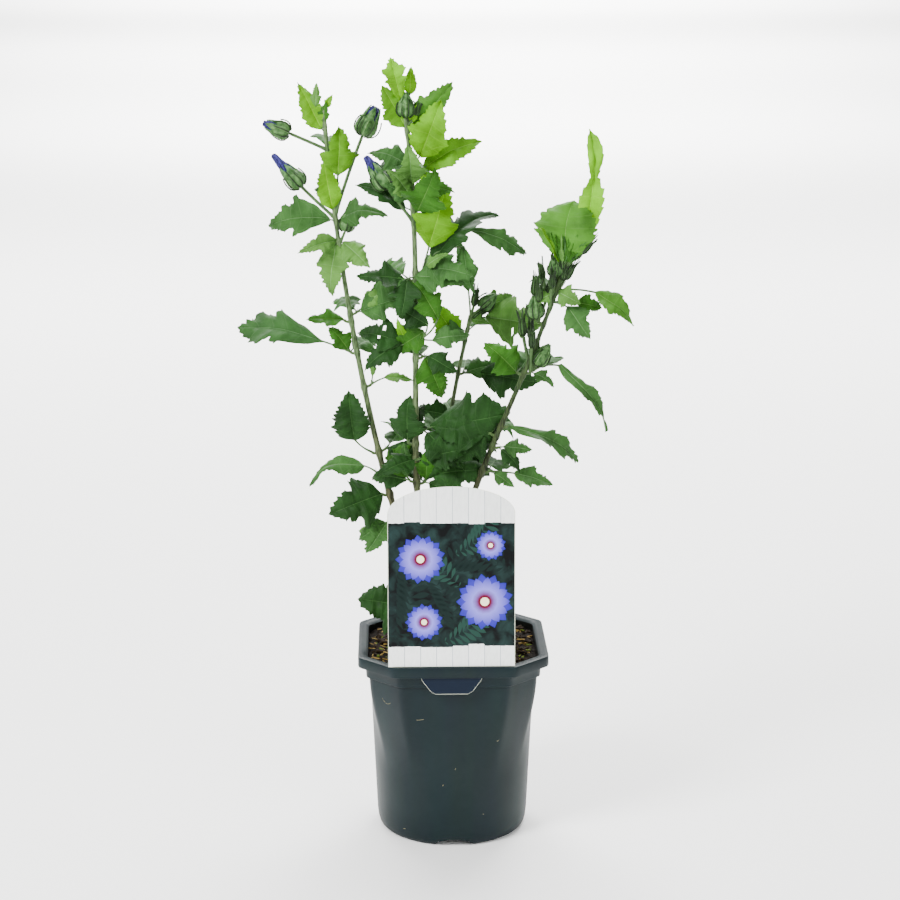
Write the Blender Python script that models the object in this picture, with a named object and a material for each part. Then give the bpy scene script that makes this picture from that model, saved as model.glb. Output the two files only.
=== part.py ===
"""Young hibiscus shrub in a square nursery pot, with its plant label.

Frame: +Z up, origin at the centre of the pot's flat underside, front of the label towards -Y.
Every size below is in millimetres and degrees; MM turns a finished mesh into metres.
Turn is a compass bearing seen from above: 0 is +X, 90 is +Y, 180 is -X, -90 is the front.
Rise and aim are angles above the horizontal.
"""

import math
import random
from collections import namedtuple

import bmesh
import bpy
from mathutils import Matrix, Vector
from mathutils.bvhtree import BVHTree
from mathutils.geometry import interpolate_bezier

for leftover in list(bpy.data.objects):
    bpy.data.objects.remove(leftover, do_unlink=True)

MM = 0.001
GAP = 0.3  # clear air between solids that rest on each other

# ---------------------------------------------------------------- driving dimensions: pot
POT_HEIGHT = 175
POT_TURN = 1.5
FLAT_ANGLES = (0, 15, 28, 32, 36)  # where a ring has points, from a flat side's middle to a corner's
WALL = 2.0
CHAMFER = 1.15  # distance to a chamfered corner over the distance to a flat side
FLANGE_HALF = 85
FLANGE_HEIGHT = 10
BAND_HALF = 77.8
BAND_HEIGHT = 11
BODY_TOP_HALF = 75
BASE_HALF = 68
FOOT_RADIUS = 63
GROOVE_OUTER = 50
GROOVE_INNER = 24
GROOVE_HEIGHT = 4.5
ARCH_WIDTH = 34
ARCH_COUNT = 4
ROUND_BELOW = 60  # under this height the body is round, and above SQUARE_ABOVE it is fully chamfered
SQUARE_ABOVE = 150

# ---------------------------------------------------------------- driving dimensions: soil and label
SOIL_TOP = 168
SOIL_EDGE = 165
CARD_WIDTH = 111
CARD_HEIGHT = 160
CARD_ARCH = 24
CARD_THICKNESS = 0.8
CARD_LEAN = 4
CARD_SETBACK = 81.6
CARD_SHIFT = -2.5
TONGUE_TOP = 53
TONGUE_FOOT = 33
TONGUE_LENGTH = 25
SLOT_WIDTH = 2.6
SLOT_LENGTH = 56

# ---------------------------------------------------------------- driving dimensions: wood
TRUNK_FOOT = Vector((-14, 0, SOIL_TOP + GAP))
TRUNK_TOP = Vector((-13, 0.5, 190))
TRUNK_FLARE = 15
TRUNK_WAIST = 10
TRUNK_HEAD = 12
STEM_STRIDE = 22  # length of one straight stretch of a stem's tube
STEM_LEAST_STRIDE = 4
STEM_UPRIGHT = 5  # a stem leaves the trunk upright for this length

Stem = namedtuple("Stem", "foot low high tip foot_radius tip_radius crown_from")

STEMS = {
    "left": Stem((-20, 4, 190), (-70, 8, 330), (-101, 22, 500), (-113, 34, 650), 3.2, 1.6, 526),
    "centre": Stem((-14, -5, 190), (-48, -9, 300), (-20, -9, 480), (-40, -7, 647), 3.3, 1.9, 546),
    "thin": Stem((-8, 6, 190), (-16, 18, 300), (-6, 38, 366), (17, 50, 464), 1.6, 1.0, 440),
    "right": Stem((-6, -4, 190), (-2, -14, 310), (64, -26, 402), (99, -34, 531), 3.1, 1.6, 482),
}

# ---------------------------------------------------------------- driving dimensions: foliage
LEAF_THICKNESS = 0.9
STALK_RADIUS = 0.75
SPUR_RADIUS = 1.3
SPUR_NECK = 2.0  # a side twig leaves its stem squarely for this length, then rises
SPUR_RISE = 45
SPUR_ROOTS = 0.6  # where on the twig its stalks are rooted, from the bend to the tip
SHORT_STALK = 16  # a stalk under this length is straight
ROOT_SUNK = 2.0  # how far a leaf's root sits inside its stalk, and a stalk's inside its twig
NUDGES = (0, 10, -10, 20, -20, 30, -30, 42, -42)

# one row per crossing line of a blade: place along the midrib, half width and forward sweep,
# each as a share of the blade's length
BLADE_LINES = (
    (0.00, 0.020, 0.00),
    (0.20, 0.155, 0.02),
    (0.34, 0.250, 0.10),
    (0.66, 0.165, 0.03),
    (1.00, 0.010, 0.00),
)

# a calyx's rings: place along it, and radius as a share of its widest
CALYX_RINGS = ((0.0, 0.35), (0.15, 0.8), (0.4, 1.0), (0.65, 0.78), (0.88, 0.35), (1.0, 0.1))
CALYX_SLIM = 0.27  # widest radius over length

# at: height on the crown's own stem (0 on a side spray); stalk and blade: lengths;
# tilt: 0 the face looks at the sky, 90 to the front, negative to the back; sag: bend along the blade
Leaf = namedtuple("Leaf", "at turn rise stalk blade aim tilt broad fold sag", defaults=(1.0, 18, 24))
Bud = namedtuple("Bud", "at turn rise stalk size aim petals", defaults=(0,))
# reach: length of a side spray's twig; back: how many more leaves fill the side away from the label
Spray = namedtuple("Spray", "name stem height turn reach parts back", defaults=(0,))
CROWN_BACK = {"left": 2, "centre": 3, "thin": 1, "right": 2}
BACK_FROM_FOOT = 12
BACK_FROM_TIP = 30
BACK_TURN = (55, 125)
BACK_RISE = (8, 28)
BACK_STALK = (6, 13)
BACK_BLADE = (38, 48)
BACK_AIM = (-6, 18)
BACK_TILT = (15, 30)

CROWNS = {
    "left": (
        Leaf(629, 168, 55, 5, 46, 58, 80),
        Leaf(648, 195, 70, 6, 16, 75, 80, 0.8),
        Leaf(648, 10, 60, 3, 13, 70, 80),
        Leaf(556, -10, 85, 38, 43, 88, 85, 1.2),
        Leaf(557, 200, 70, 8, 43, 79, 85, 0.9),
        Leaf(553, 172, 2, 8, 56, -7, 35, 1.1),
        Leaf(553, -15, 20, 4, 40, 18, 35, 0.9, 50),
        Leaf(534, 215, 10, 5, 50, -68, 60, 1.35),
        Leaf(534, -25, 10, 5, 32, -35, 60, 1.1),
        Bud(615, 180, 24, 37, 19, 22, 7),
        Bud(555, 184, 42, 42, 21, 49, 15),
        Bud(557, 2, 73, 76, 24, 64),
        Bud(532, 0, 62, 14, 17, 78),
    ),
    "centre": (
        Leaf(645, 200, 75, 17, 36, 74, 85, 0.9),
        Leaf(645, 20, 80, 22, 20, 80, 85, 0.8),
        Leaf(636, 188, 60, 4, 38, 60, 75, 0.9),
        Leaf(640, -12, 55, 4, 18, 60, 60),
        Leaf(634, 8, 40, 8, 49, 46, 70),
        Leaf(605, -15, 60, 5, 46, 62, 80, 1.25),
        Leaf(597, 14, 30, 14, 54, 28, 45),
        Leaf(599, -24, 20, 14, 27, -55, 60, 1.1),
        Leaf(605, 172, 26, 4, 34, 24, 55, 1.1),
        Leaf(590, -95, 30, 6, 30, 50, 80),
        Leaf(575, 205, 30, 5, 24, 30, 50),
        Leaf(566, 170, 20, 8, 48, 26, 25, 0.7, 45),
        Leaf(560, -62, 40, 10, 46, 45, 70, 1.2),
        Leaf(583, -35, 20, 6, 36, 8, 65, 1.1),
        Leaf(578, 215, 30, 4, 30, 50, 70, 1.1),
        Bud(556, 178, 52, 38, 21, 55, 8),
        Bud(646, -80, 78, 2, 20, 86),
    ),
    "thin": (
        Leaf(461, 5, 18, 15, 50, 0, 80, 1.5),
        Leaf(460, -30, 10, 3, 18, 0, 50),
        Leaf(463, 30, 70, 8, 28, 75, 60, 0.6),
        Leaf(450, 205, 10, 4, 28, 0, 50),
        Leaf(441, 178, 15, 9, 40, 55, 80, 1.1),
        Bud(463, 0, 25, 11, 17, 42),
    ),
    "right": (
        Leaf(527, 12, 28, 26, 92, 88, 80, 0.55, 40),
        Leaf(528, 190, 80, 3, 50, 82, 85, 1.6),
        Leaf(500, 3, 8, 36, 46, -38, 55, 0.9),
        Leaf(499, -25, 5, 4, 21, -10, 70, 1.2),
        Leaf(490, -12, -5, 15, 39, -40, 65, 1.3),
        Bud(508, 176, 65, 6, 17, 82),
        Bud(516, -80, 70, 3, 15, 84),
        Bud(522, 5, 60, 9, 15, 70),
        Bud(505, -14, 50, 7, 14, 78),
    ),
}

SPRAYS = (
    # left stem, from the top down
    Spray("spray_left_upper_outer", "left", 464, 180, 4, (Leaf(0, 182, 5, 0, 28, 0, 25),)),
    Spray("spray_left_upper_inner", "left", 470, -15, 4, (Leaf(0, -18, 12, 5, 52, 16, 50, 1.3),), 1),
    Spray("spray_left_middle_outer", "left", 436, 178, 4, (
        Leaf(0, 178, 24, 27, 77, 10, 55, 1.05),
        Leaf(0, 168, 50, 3, 25, 42, 50),
    ), 1),
    Spray("spray_left_middle_inner", "left", 408, 5, 4, (Leaf(0, 5, 3, 20, 26, -4, 30, 0.7, 40),)),
    Spray("spray_left_lower_outer", "left", 346, 182, 4, (Leaf(0, 182, 22, 20, 46, 80, 85, 1.35, 25),)),
    Spray("spray_left_lower_inner", "left", 345, 40, 4, (
        Leaf(0, 38, 20, 6, 43, 14, 50),
    ), 1),
    Spray("spray_left_base_outer", "left", 327, 176, 4, (Leaf(0, 176, 40, 14, 52, -12, 35, 0.6),)),
    Spray("spray_left_base_front", "left", 308, 200, 4, (Leaf(0, 204, 0, 1, 50, -18, 62, 1.4),)),
    Spray("spray_left_foot_outer", "left", 283, 190, 4, (Leaf(0, 192, -10, 5, 27, -28, 65, 1.2),)),
    Spray("spray_left_foot_back", "left", 262, 120, 4, (
        Leaf(0, 150, 10, 26, 22, 5, 40),
    ), 1),
    # centre stem
    Spray("spray_centre_upper_right", "centre", 512, 5, 5, (
        Leaf(0, 4, 42, 7, 72, 45, 50),
        Leaf(0, 14, 60, 52, 62, -28, 40, 0.55, 18, 50),
        Leaf(0, 0, 62, 54, 46, -80, 80, 0.9),
        Leaf(0, -8, 72, 20, 40, 70, 85, 1.2),
        Leaf(0, -38, 15, 8, 42, 2, 55, 1.2),
    ), 1),
    Spray("spray_centre_upper_left", "centre", 505, 195, 4, (
        Leaf(0, 190, 5, 3, 22, -8, 50),
    ), 1),
    Spray("spray_centre_middle_left", "centre", 447, 185, 5, (
        Leaf(0, 200, 50, 4, 18, 60, 70),
        Leaf(0, 172, 12, 6, 40, 12, 42, 1.1),
        Leaf(0, 192, -5, 8, 40, -24, 55, 1.1),
    )),
    Spray("spray_centre_middle_front", "centre", 452, -60, 5, (
        Leaf(0, -28, 18, 5, 52, 16, 45),
        Leaf(0, -80, 10, 6, 38, -14, 62),
    ), 1),
    Spray("spray_centre_middle_right", "centre", 436, -10, 4, (
        Leaf(0, -10, 0, 5, 38, -50, 62, 1.1),
    ), 1),
    Spray("spray_centre_lower_left", "centre", 358, 185, 4, (
        Leaf(0, 140, 60, 3, 38, 84, 80, 0.95),
    ), 1),
    Spray("spray_centre_lower_right", "centre", 369, -8, 4, (
        Leaf(0, -8, 30, 8, 70, 14, 75, 1.5),
        Leaf(0, 10, -20, 4, 24, -30, -50),
    )),
    Spray("spray_centre_lower_front", "centre", 344, -75, 4, (
        Leaf(0, -20, 15, 10, 46, 22, 65, 1.2),
        Leaf(0, -140, 10, 6, 38, -8, 60, 1.1),
    )),
    Spray("spray_centre_base_left", "centre", 324, 200, 4, (
        Leaf(0, 200, 60, 5, 26, 78, 85, 0.8),
        Leaf(0, 165, 10, 4, 32, 6, 60),
    )),
    Spray("spray_centre_base_right", "centre", 322, -20, 4, (
        Leaf(0, -34, 60, 5, 32, 58, 80),
        Leaf(0, -6, 45, 10, 54, 8, 45, 1.0, 18, 50),
    )),
    # thin stem
    Spray("spray_thin_middle", "thin", 412, 5, 3, (
        Leaf(0, 12, 22, 4, 30, 10, 45),
        Leaf(0, -10, 0, 17, 43, -8, 50),
    ), 1),
    Spray("spray_thin_lower", "thin", 372, 0, 3, (
        Leaf(0, 0, 8, 19, 36, -12, 60, 1.2),
        Leaf(0, -12, -20, 8, 40, -38, 65, 1.1),
    ), 1),
    Spray("spray_thin_base", "thin", 342, -60, 3, (
        Leaf(0, -10, 30, 6, 40, 12, 70, 1.2),
        Leaf(0, -120, 20, 5, 34, 20, 70, 1.1),
    )),
    Spray("spray_thin_back", "thin", 330, 90, 3, (), 2),
    # right stem
    Spray("spray_right_upper_inner", "right", 470, 178, 3, (
        Leaf(0, 150, 50, 3, 17, 50, 60),
        Bud(0, 182, 60, 4, 18, 84),
    )),
    Spray("spray_right_middle_outer", "right", 427, 2, 4, (
        Bud(0, 0, 58, 9, 19, 52),
        Leaf(0, 4, 28, 42, 60, -58, 45, 0.7),
        Leaf(0, -30, -15, 4, 20, -20, 40),
    ), 1),
    Spray("spray_right_middle_inner", "right", 424, 182, 3, (
        Leaf(0, 182, 44, 1, 36, 42, 75, 1.2),
    ), 1),
    Spray("spray_right_lower_outer", "right", 378, -4, 3, (Leaf(0, -4, -6, 2, 68, -22, 45, 0.75),)),
    Spray("spray_right_lower_front", "right", 352, -20, 3, (Leaf(0, -5, 10, 5, 24, -14, 50),)),
    Spray("spray_right_lower_inner", "right", 368, 178, 3, (
        Leaf(0, 176, 20, 5, 44, 4, 62, 1.3),
    ), 1),
    Spray("spray_right_base_outer", "right", 336, 0, 3, (
        Leaf(0, 0, 0, 24, 34, -18, 40, 0.85),
    ), 1),
    Spray("spray_right_foot_front", "right", 262, -30, 3, (Leaf(0, -40, 20, 8, 40, 10, 60),)),
)

TRUNK_SHOOT = Spray("spray_trunk_foot", "left", 196, 170, 5, (
    Leaf(0, 184, 50, 12, 44, 18, 80, 1.5),
), 1)


# ---------------------------------------------------------------- materials and small helpers
PART = bpy.data.collections.new("hibiscus_shrub")
bpy.context.scene.collection.children.link(PART)


def material(name, colour, roughness):
    made = bpy.data.materials.new(name)
    made.use_nodes = True
    shader = made.node_tree.nodes["Principled BSDF"]
    shader.inputs["Base Color"].default_value = (*colour, 1.0)
    shader.inputs["Roughness"].default_value = roughness
    shader.inputs["Metallic"].default_value = 0.0
    return made


def loose_object(name, mesh, collection=PART):
    made = bpy.data.objects.new(name, mesh)
    collection.objects.link(made)
    return made


def from_bmesh(name, bm):
    """A mesh of a closed bmesh, with its faces pointing out."""
    bmesh.ops.recalc_face_normals(bm, faces=bm.faces)
    if bm.calc_volume(signed=True) < 0:
        bmesh.ops.reverse_faces(bm, faces=bm.faces)
    mesh = bpy.data.meshes.new(name)
    bm.to_mesh(mesh)
    bm.free()
    return mesh


def evaluated_mesh(source):
    graph = bpy.context.evaluated_depsgraph_get()
    return bpy.data.meshes.new_from_object(source.evaluated_get(graph))


def finished(name, mesh, surface):
    """Link a mesh drawn in millimetres as a node in metres."""
    mesh.transform(Matrix.Scale(MM, 4))
    mesh.materials.clear()
    mesh.materials.append(surface)
    mesh.shade_smooth()
    mesh.set_sharp_from_angle(angle=math.radians(40))
    return loose_object(name, mesh)


def bearing(turn, rise):
    flat = math.cos(math.radians(rise))
    return Vector((
        flat * math.cos(math.radians(turn)),
        flat * math.sin(math.radians(turn)),
        math.sin(math.radians(rise)),
    ))


def tube(points, radii, resolution=0):
    """A closed round tube through the points, as a mesh in millimetres with its caps welded."""
    curve = bpy.data.curves.new("tube", "CURVE")
    curve.dimensions = "3D"
    curve.bevel_depth = 1.0
    curve.bevel_resolution = resolution
    curve.use_fill_caps = True
    spline = curve.splines.new("POLY")
    spline.points.add(len(points) - 1)
    for knot, point, radius in zip(spline.points, points, radii):
        knot.co = (*point, 1.0)
        knot.radius = radius
    carrier = loose_object("tube", curve)
    mesh = evaluated_mesh(carrier)
    bpy.data.objects.remove(carrier, do_unlink=True)
    bpy.data.curves.remove(curve)
    bm = bmesh.new()
    bm.from_mesh(mesh)
    bpy.data.meshes.remove(mesh)
    bmesh.ops.remove_doubles(bm, verts=bm.verts, dist=0.0001)
    return from_bmesh("tube", bm)


def surface_tree(mesh):
    return BVHTree.FromPolygons(
        [vertex.co for vertex in mesh.vertices],
        [tuple(face.vertices) for face in mesh.polygons],
    )


# ---------------------------------------------------------------- pot
def smooth_share(value, low, high):
    share = min(1.0, max(0.0, (value - low) / (high - low)))
    return share * share * (3 - 2 * share)


def chamfered_radius(angle):
    """Distance from the centre to a chamfered square whose flat sides lie at 1."""
    off_flat = math.remainder(angle, math.pi / 2)
    off_corner = math.remainder(angle - math.pi / 4, math.pi / 2)
    return min(1 / math.cos(off_flat), CHAMFER / math.cos(off_corner))


def ring_angles():
    """The same angles on every ring: closest where a flat side turns into a chamfered corner."""
    quarter = FLAT_ANGLES + (45,) + tuple(90 - angle for angle in reversed(FLAT_ANGLES[1:]))
    return [math.radians(90 * side + angle) for side in range(4) for angle in quarter]


def pot_ring(half, height):
    """The pot's outline at a height: chamfered square at the top, round at the foot."""
    square = smooth_share(height, ROUND_BELOW, SQUARE_ABOVE)
    radii = [half * (1 + square * (chamfered_radius(angle) - 1)) for angle in ring_angles()]
    return ring_points(radii, height)


def round_ring(radius, height):
    return ring_points([radius] * len(ring_angles()), height)


def ring_points(radii, height):
    turned = [angle + math.radians(POT_TURN) for angle in ring_angles()]
    return [
        Vector((radius * math.cos(angle), radius * math.sin(angle), height))
        for radius, angle in zip(radii, turned)
    ]


def loft(rings):
    """A closed solid through rings of like points, with its first and last ring filled.

    Each four-sided patch is split from its lower left to its upper right corner, so that two walls
    over the same rings, one inside the other, stay parallel.
    """
    bm = bmesh.new()
    loops = [[bm.verts.new(point) for point in ring] for ring in rings]
    for first, second in zip(loops, loops[1:]):
        low, high = (first, second) if first[0].co.z <= second[0].co.z else (second, first)
        for i in range(len(low)):
            bm.faces.new((low[i - 1], low[i], high[i]))
            bm.faces.new((low[i - 1], high[i], high[i - 1]))
    bm.faces.new(loops[0])
    bm.faces.new(loops[-1])
    bmesh.ops.triangulate(bm, faces=bm.faces)
    return from_bmesh("loft", bm)


BODY_TOP = POT_HEIGHT - FLANGE_HEIGHT - BAND_HEIGHT
BAND_TOP = POT_HEIGHT - FLANGE_HEIGHT
BODY_HEIGHTS = (14, 60, 105, BODY_TOP)


def body_half(height):
    return BASE_HALF + (BODY_TOP_HALF - BASE_HALF) * height / BODY_TOP


def inner_half(height):
    """Half width of the pot's inside at a height."""
    return body_half(height) - WALL


def floor_rings(lift):
    """The inside of the floor, from the wall to the middle, raised by lift."""
    return [
        round_ring(FOOT_RADIUS + 3 - lift, WALL + 2 + lift),
        round_ring(GROOVE_OUTER + 2 + lift, WALL + lift),
        round_ring(GROOVE_OUTER - 1 + lift, GROOVE_HEIGHT + WALL + lift),
        round_ring(GROOVE_INNER + 1 - lift, GROOVE_HEIGHT + WALL + lift),
        round_ring(GROOVE_INNER - 2 - lift, WALL + lift),
    ]


def make_pot():
    plastic = material("pot_plastic", (0.033, 0.055, 0.060), 0.45)
    outside = [
        round_ring(GROOVE_INNER - 2, 0),
        round_ring(GROOVE_INNER, GROOVE_HEIGHT),
        round_ring(GROOVE_OUTER, GROOVE_HEIGHT),
        round_ring(GROOVE_OUTER + 2, 0),
        round_ring(FOOT_RADIUS, 0),
        round_ring(BASE_HALF - 2.4, 2.2),
        round_ring(BASE_HALF - 0.4, 7),
    ]
    outside += [pot_ring(body_half(height), height) for height in BODY_HEIGHTS]
    outside += [
        pot_ring(BAND_HALF, BODY_TOP + 1),
        pot_ring(BAND_HALF + 0.4, BAND_TOP),
        pot_ring(FLANGE_HALF - 0.8, BAND_TOP),
        pot_ring(FLANGE_HALF, BAND_TOP + 1),
        pot_ring(FLANGE_HALF, POT_HEIGHT - 1),
        pot_ring(FLANGE_HALF - 0.8, POT_HEIGHT),
    ]
    inside = [
        pot_ring(BAND_HALF + 1.2, POT_HEIGHT),
        pot_ring(BAND_HALF + 0.4 - WALL, POT_HEIGHT - 2),
        pot_ring(BAND_HALF - WALL, BODY_TOP + 2),
    ]
    inside += [pot_ring(inner_half(height), height) for height in reversed(BODY_HEIGHTS)]
    mesh = loft(outside + inside + floor_rings(0))
    pot = loose_object("pot", mesh)
    cutters = pot_cutters()
    cut = pot.modifiers.new("cut", "BOOLEAN")
    cut.operation = "DIFFERENCE"
    cut.operand_type = "COLLECTION"
    cut.collection = cutters
    cut.solver = "EXACT"
    cut_mesh = evaluated_mesh(pot)
    for cutter in list(cutters.objects):
        bpy.data.objects.remove(cutter, do_unlink=True)
    bpy.data.collections.remove(cutters)
    bpy.data.objects.remove(pot, do_unlink=True)
    return finished("pot", cut_mesh, plastic)


def cutter_box(collection, size, place):
    bm = bmesh.new()
    bmesh.ops.create_cube(bm, size=1.0, matrix=place @ Matrix.Diagonal((*size, 1.0)))
    loose_object("cutter", from_bmesh("cutter", bm), collection)


def pot_cutters():
    """The slot for the label's tongue, and the drain arches through the foot."""
    cutters = bpy.data.collections.new("cutters")
    bpy.context.scene.collection.children.link(cutters)
    slot_place = Matrix.Rotation(math.radians(POT_TURN), 4, "Z") @ Matrix.Translation(
        (CARD_SHIFT, -CARD_SETBACK, BAND_TOP + FLANGE_HEIGHT / 2)
    )
    cutter_box(cutters, (SLOT_LENGTH, SLOT_WIDTH, 2 * FLANGE_HEIGHT), slot_place)
    for arch in range(ARCH_COUNT):
        side = math.radians(POT_TURN) + arch * 2 * math.pi / ARCH_COUNT
        outward = Matrix.Rotation(side, 4, "Z")
        bm = bmesh.new()
        bmesh.ops.create_cone(
            bm,
            cap_ends=True,
            segments=12,
            radius1=ARCH_WIDTH / 2,
            radius2=ARCH_WIDTH / 2,
            depth=FOOT_RADIUS,
            matrix=outward @ Matrix.Translation((0, -GROOVE_OUTER - FOOT_RADIUS / 2 + 1, 0))
            @ Matrix.Diagonal((1, 1, 2 * GROOVE_HEIGHT / ARCH_WIDTH, 1))
            @ Matrix.Rotation(math.pi / 2, 4, "X"),
        )
        loose_object("cutter", from_bmesh("cutter", bm), cutters)
    return cutters


# ---------------------------------------------------------------- soil
def make_soil():
    peat = material("peat", (0.016, 0.012, 0.008), 0.95)
    rings = list(reversed(floor_rings(GAP)))
    rings += [pot_ring(inner_half(height) - GAP, height) for height in BODY_HEIGHTS[:-1]]
    rings += [
        pot_ring(inner_half(BODY_TOP) - GAP - 0.5, BODY_TOP - 0.5),
        pot_ring(BAND_HALF - WALL - GAP - 0.5, BODY_TOP + 3),
        pot_ring(BAND_HALF - WALL - GAP - 0.5, SOIL_EDGE - 1),
        pot_ring(BAND_HALF - WALL - 4, SOIL_EDGE + 1),
        round_ring(45, SOIL_TOP + 1),
        round_ring(2 * TRUNK_FLARE, SOIL_TOP),
    ]
    return finished("soil", loft(rings), peat)


# ---------------------------------------------------------------- label
def card_outline():
    """Half outline of the card, from the tongue's foot up to the arch's crown, as (x, height)."""
    half = CARD_WIDTH / 2
    outline = [
        (TONGUE_FOOT / 2 - 3, -TONGUE_LENGTH),
        (TONGUE_FOOT / 2, -TONGUE_LENGTH + 3),
        (TONGUE_TOP / 2, -FLANGE_HEIGHT - 2),
        (TONGUE_TOP / 2, 0),
        (half, 0),
    ]
    steps = 10
    for step in range(steps + 1):
        angle = math.pi / 2 * (1 - step / steps)
        outline.append((half * math.sin(angle), CARD_HEIGHT - CARD_ARCH * (1 - math.cos(angle))))
    return outline


def make_label():
    card = material("label_card", (0.55, 0.58, 0.62), 0.35)
    right = card_outline()
    left = [(-x, height) for x, height in reversed(right) if x > 0.001]
    curve = bpy.data.curves.new("card", "CURVE")
    curve.dimensions = "2D"
    curve.fill_mode = "BOTH"
    curve.extrude = CARD_THICKNESS / 2
    spline = curve.splines.new("POLY")
    outline = right + left
    spline.points.add(len(outline) - 1)
    for knot, (x, height) in zip(spline.points, outline):
        knot.co = (x, height, 0, 1)
    spline.use_cyclic_u = True
    carrier = loose_object("card", curve)
    mesh = evaluated_mesh(carrier)
    bpy.data.objects.remove(carrier, do_unlink=True)
    bm = bmesh.new()
    bm.from_mesh(mesh)
    bmesh.ops.remove_doubles(bm, verts=bm.verts, dist=0.0001)
    mesh = from_bmesh("card", bm)
    upright = Matrix.Rotation(math.radians(90 - CARD_LEAN), 4, "X")
    seat = Matrix.Translation((CARD_SHIFT, -CARD_SETBACK, POT_HEIGHT + GAP))
    mesh.transform(Matrix.Rotation(math.radians(POT_TURN), 4, "Z") @ seat @ upright)
    return finished("label", mesh, card)


# ---------------------------------------------------------------- trunk and stems
def stem_path(stem):
    """Points along a stem's centre line, and its radius at each."""
    count = 2 + round((stem.tip[2] - stem.foot[2]) / STEM_STRIDE)
    handles = [Vector(point) for point in (stem.foot, stem.low, stem.high, stem.tip)]
    points = interpolate_bezier(*handles, count)
    taper = (stem.tip_radius - stem.foot_radius) / (count - 1)
    radii = [stem.foot_radius + taper * i for i in range(count)]
    points.insert(1, points[0] + Vector((0, 0, STEM_UPRIGHT)))
    radii.insert(1, stem.foot_radius)
    return points, radii


def on_stem(stem, height):
    """The stem's centre, radius and direction at a height."""
    points, radii = stem_path(stem)
    for i in range(len(points) - 1):
        low, high = points[i], points[i + 1]
        if height <= high.z or i == len(points) - 2:
            share = (height - low.z) / (high.z - low.z)
            radius = radii[i] + (radii[i + 1] - radii[i]) * share
            return low.lerp(high, share), radius, (high - low).normalized()


def stem_between(stem, low_height, high_height):
    """The stretch of a stem between two heights, ends included."""
    points, radii = stem_path(stem)
    stretch = [on_stem(stem, low_height)[:2]]
    stretch += [(p, r) for p, r in zip(points, radii) if low_height < p.z - STEM_LEAST_STRIDE]
    stretch = [pair for pair in stretch if pair[0].z < high_height - STEM_LEAST_STRIDE]
    stretch.append(on_stem(stem, high_height)[:2])
    return [point for point, _ in stretch], [radius for _, radius in stretch]


def make_trunk():
    rise = TRUNK_TOP - TRUNK_FOOT
    shares = (0, 0.12, 0.35, 0.7, 1)
    radii = (TRUNK_FLARE, TRUNK_FLARE * 0.82, TRUNK_WAIST, TRUNK_WAIST * 0.97, TRUNK_HEAD)
    points = [TRUNK_FOOT + rise * share for share in shares]
    points[1].x = TRUNK_FOOT.x
    points[1].y = TRUNK_FOOT.y
    points[-2].x = TRUNK_TOP.x
    points[-2].y = TRUNK_TOP.y
    return tube(points, radii, resolution=4)


def make_stem(stem):
    points, radii = stem_between(stem, TRUNK_TOP.z + GAP, stem.crown_from)
    return tube(points, radii, resolution=2)


# ---------------------------------------------------------------- leaves, buds and sprays
def stalk_path(root, turn, rise, length, aim):
    """A stalk that leaves at one angle and arrives at another, with its end point last."""
    leave = bearing(turn, rise)
    arrive = bearing(turn, 0.5 * (rise + aim))
    end = root + (leave + arrive) * (length / 2)
    count = 2 if length < SHORT_STALK else 3
    return interpolate_bezier(root, root + leave * length / 3, end - arrive * length / 3, end, count)


def blade_mesh(base, turn, leaf):
    """A lobed blade bent along its midrib, folded across it, with a real thickness."""
    axis = bearing(turn, leaf.aim)
    tilt = math.radians(leaf.tilt)
    face = Vector((0, -math.sin(tilt), math.cos(tilt)))
    normal = (face - axis * face.dot(axis)).normalized()
    across = axis.cross(normal)
    fold = math.radians(leaf.fold)
    sag = math.radians(leaf.sag)
    lines = len(BLADE_LINES)
    bm = bmesh.new()
    grid = bmesh.ops.create_grid(bm, x_segments=2, y_segments=lines - 1, size=1.0)["verts"]
    for vertex in grid:
        side = round(vertex.co.x)
        line = round((vertex.co.y + 1) / 2 * (lines - 1))
        along, half, sweep = BLADE_LINES[line]
        run = (along + abs(side) * sweep) * leaf.blade
        width = half * leaf.broad * leaf.blade
        rise = sag * 0.5 * run * (1 - run / leaf.blade)
        vertex.co = (
            base
            + axis * run
            + across * (side * width * math.cos(fold))
            + normal * (abs(side) * width * math.sin(fold) + rise)
        )
    bm.normal_update()
    bmesh.ops.solidify(bm, geom=bm.faces[:], thickness=max(LEAF_THICKNESS, leaf.blade / 80))
    return from_bmesh("blade", bm)


def leaf_meshes(root, leaf, nudge):
    turn = leaf.turn + nudge
    path = stalk_path(root, turn, leaf.rise, leaf.stalk, leaf.aim)
    end = path[-1]
    blade = blade_mesh(end - bearing(turn, leaf.aim) * ROOT_SUNK, turn, leaf)
    path.append(end + bearing(turn, leaf.aim) * leaf.blade * 0.12)
    return [tube(path, [STALK_RADIUS] * len(path)), blade]


def bud_meshes(root, bud, nudge):
    """A flower bud on its stalk: an egg-shaped calyx, and rolled petals where they stand out."""
    turn = bud.turn + nudge
    path = stalk_path(root, turn, bud.rise, bud.stalk, bud.aim)
    axis = bearing(turn, bud.aim)
    base = path[-1] - axis * ROOT_SUNK
    path.append(path[-1] + axis * bud.size * 0.2)
    wide = bud.size * CALYX_SLIM
    points = [base + axis * bud.size * place for place, _ in CALYX_RINGS]
    radii = [wide * share for _, share in CALYX_RINGS]
    if bud.petals:
        points[-1] = base + axis * (bud.size + bud.petals)
        radii[-2] = wide * 0.45
        radii[-1] = wide * 0.18
    return [tube(path, [STALK_RADIUS] * len(path)), tube(points, radii, resolution=1)]


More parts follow.
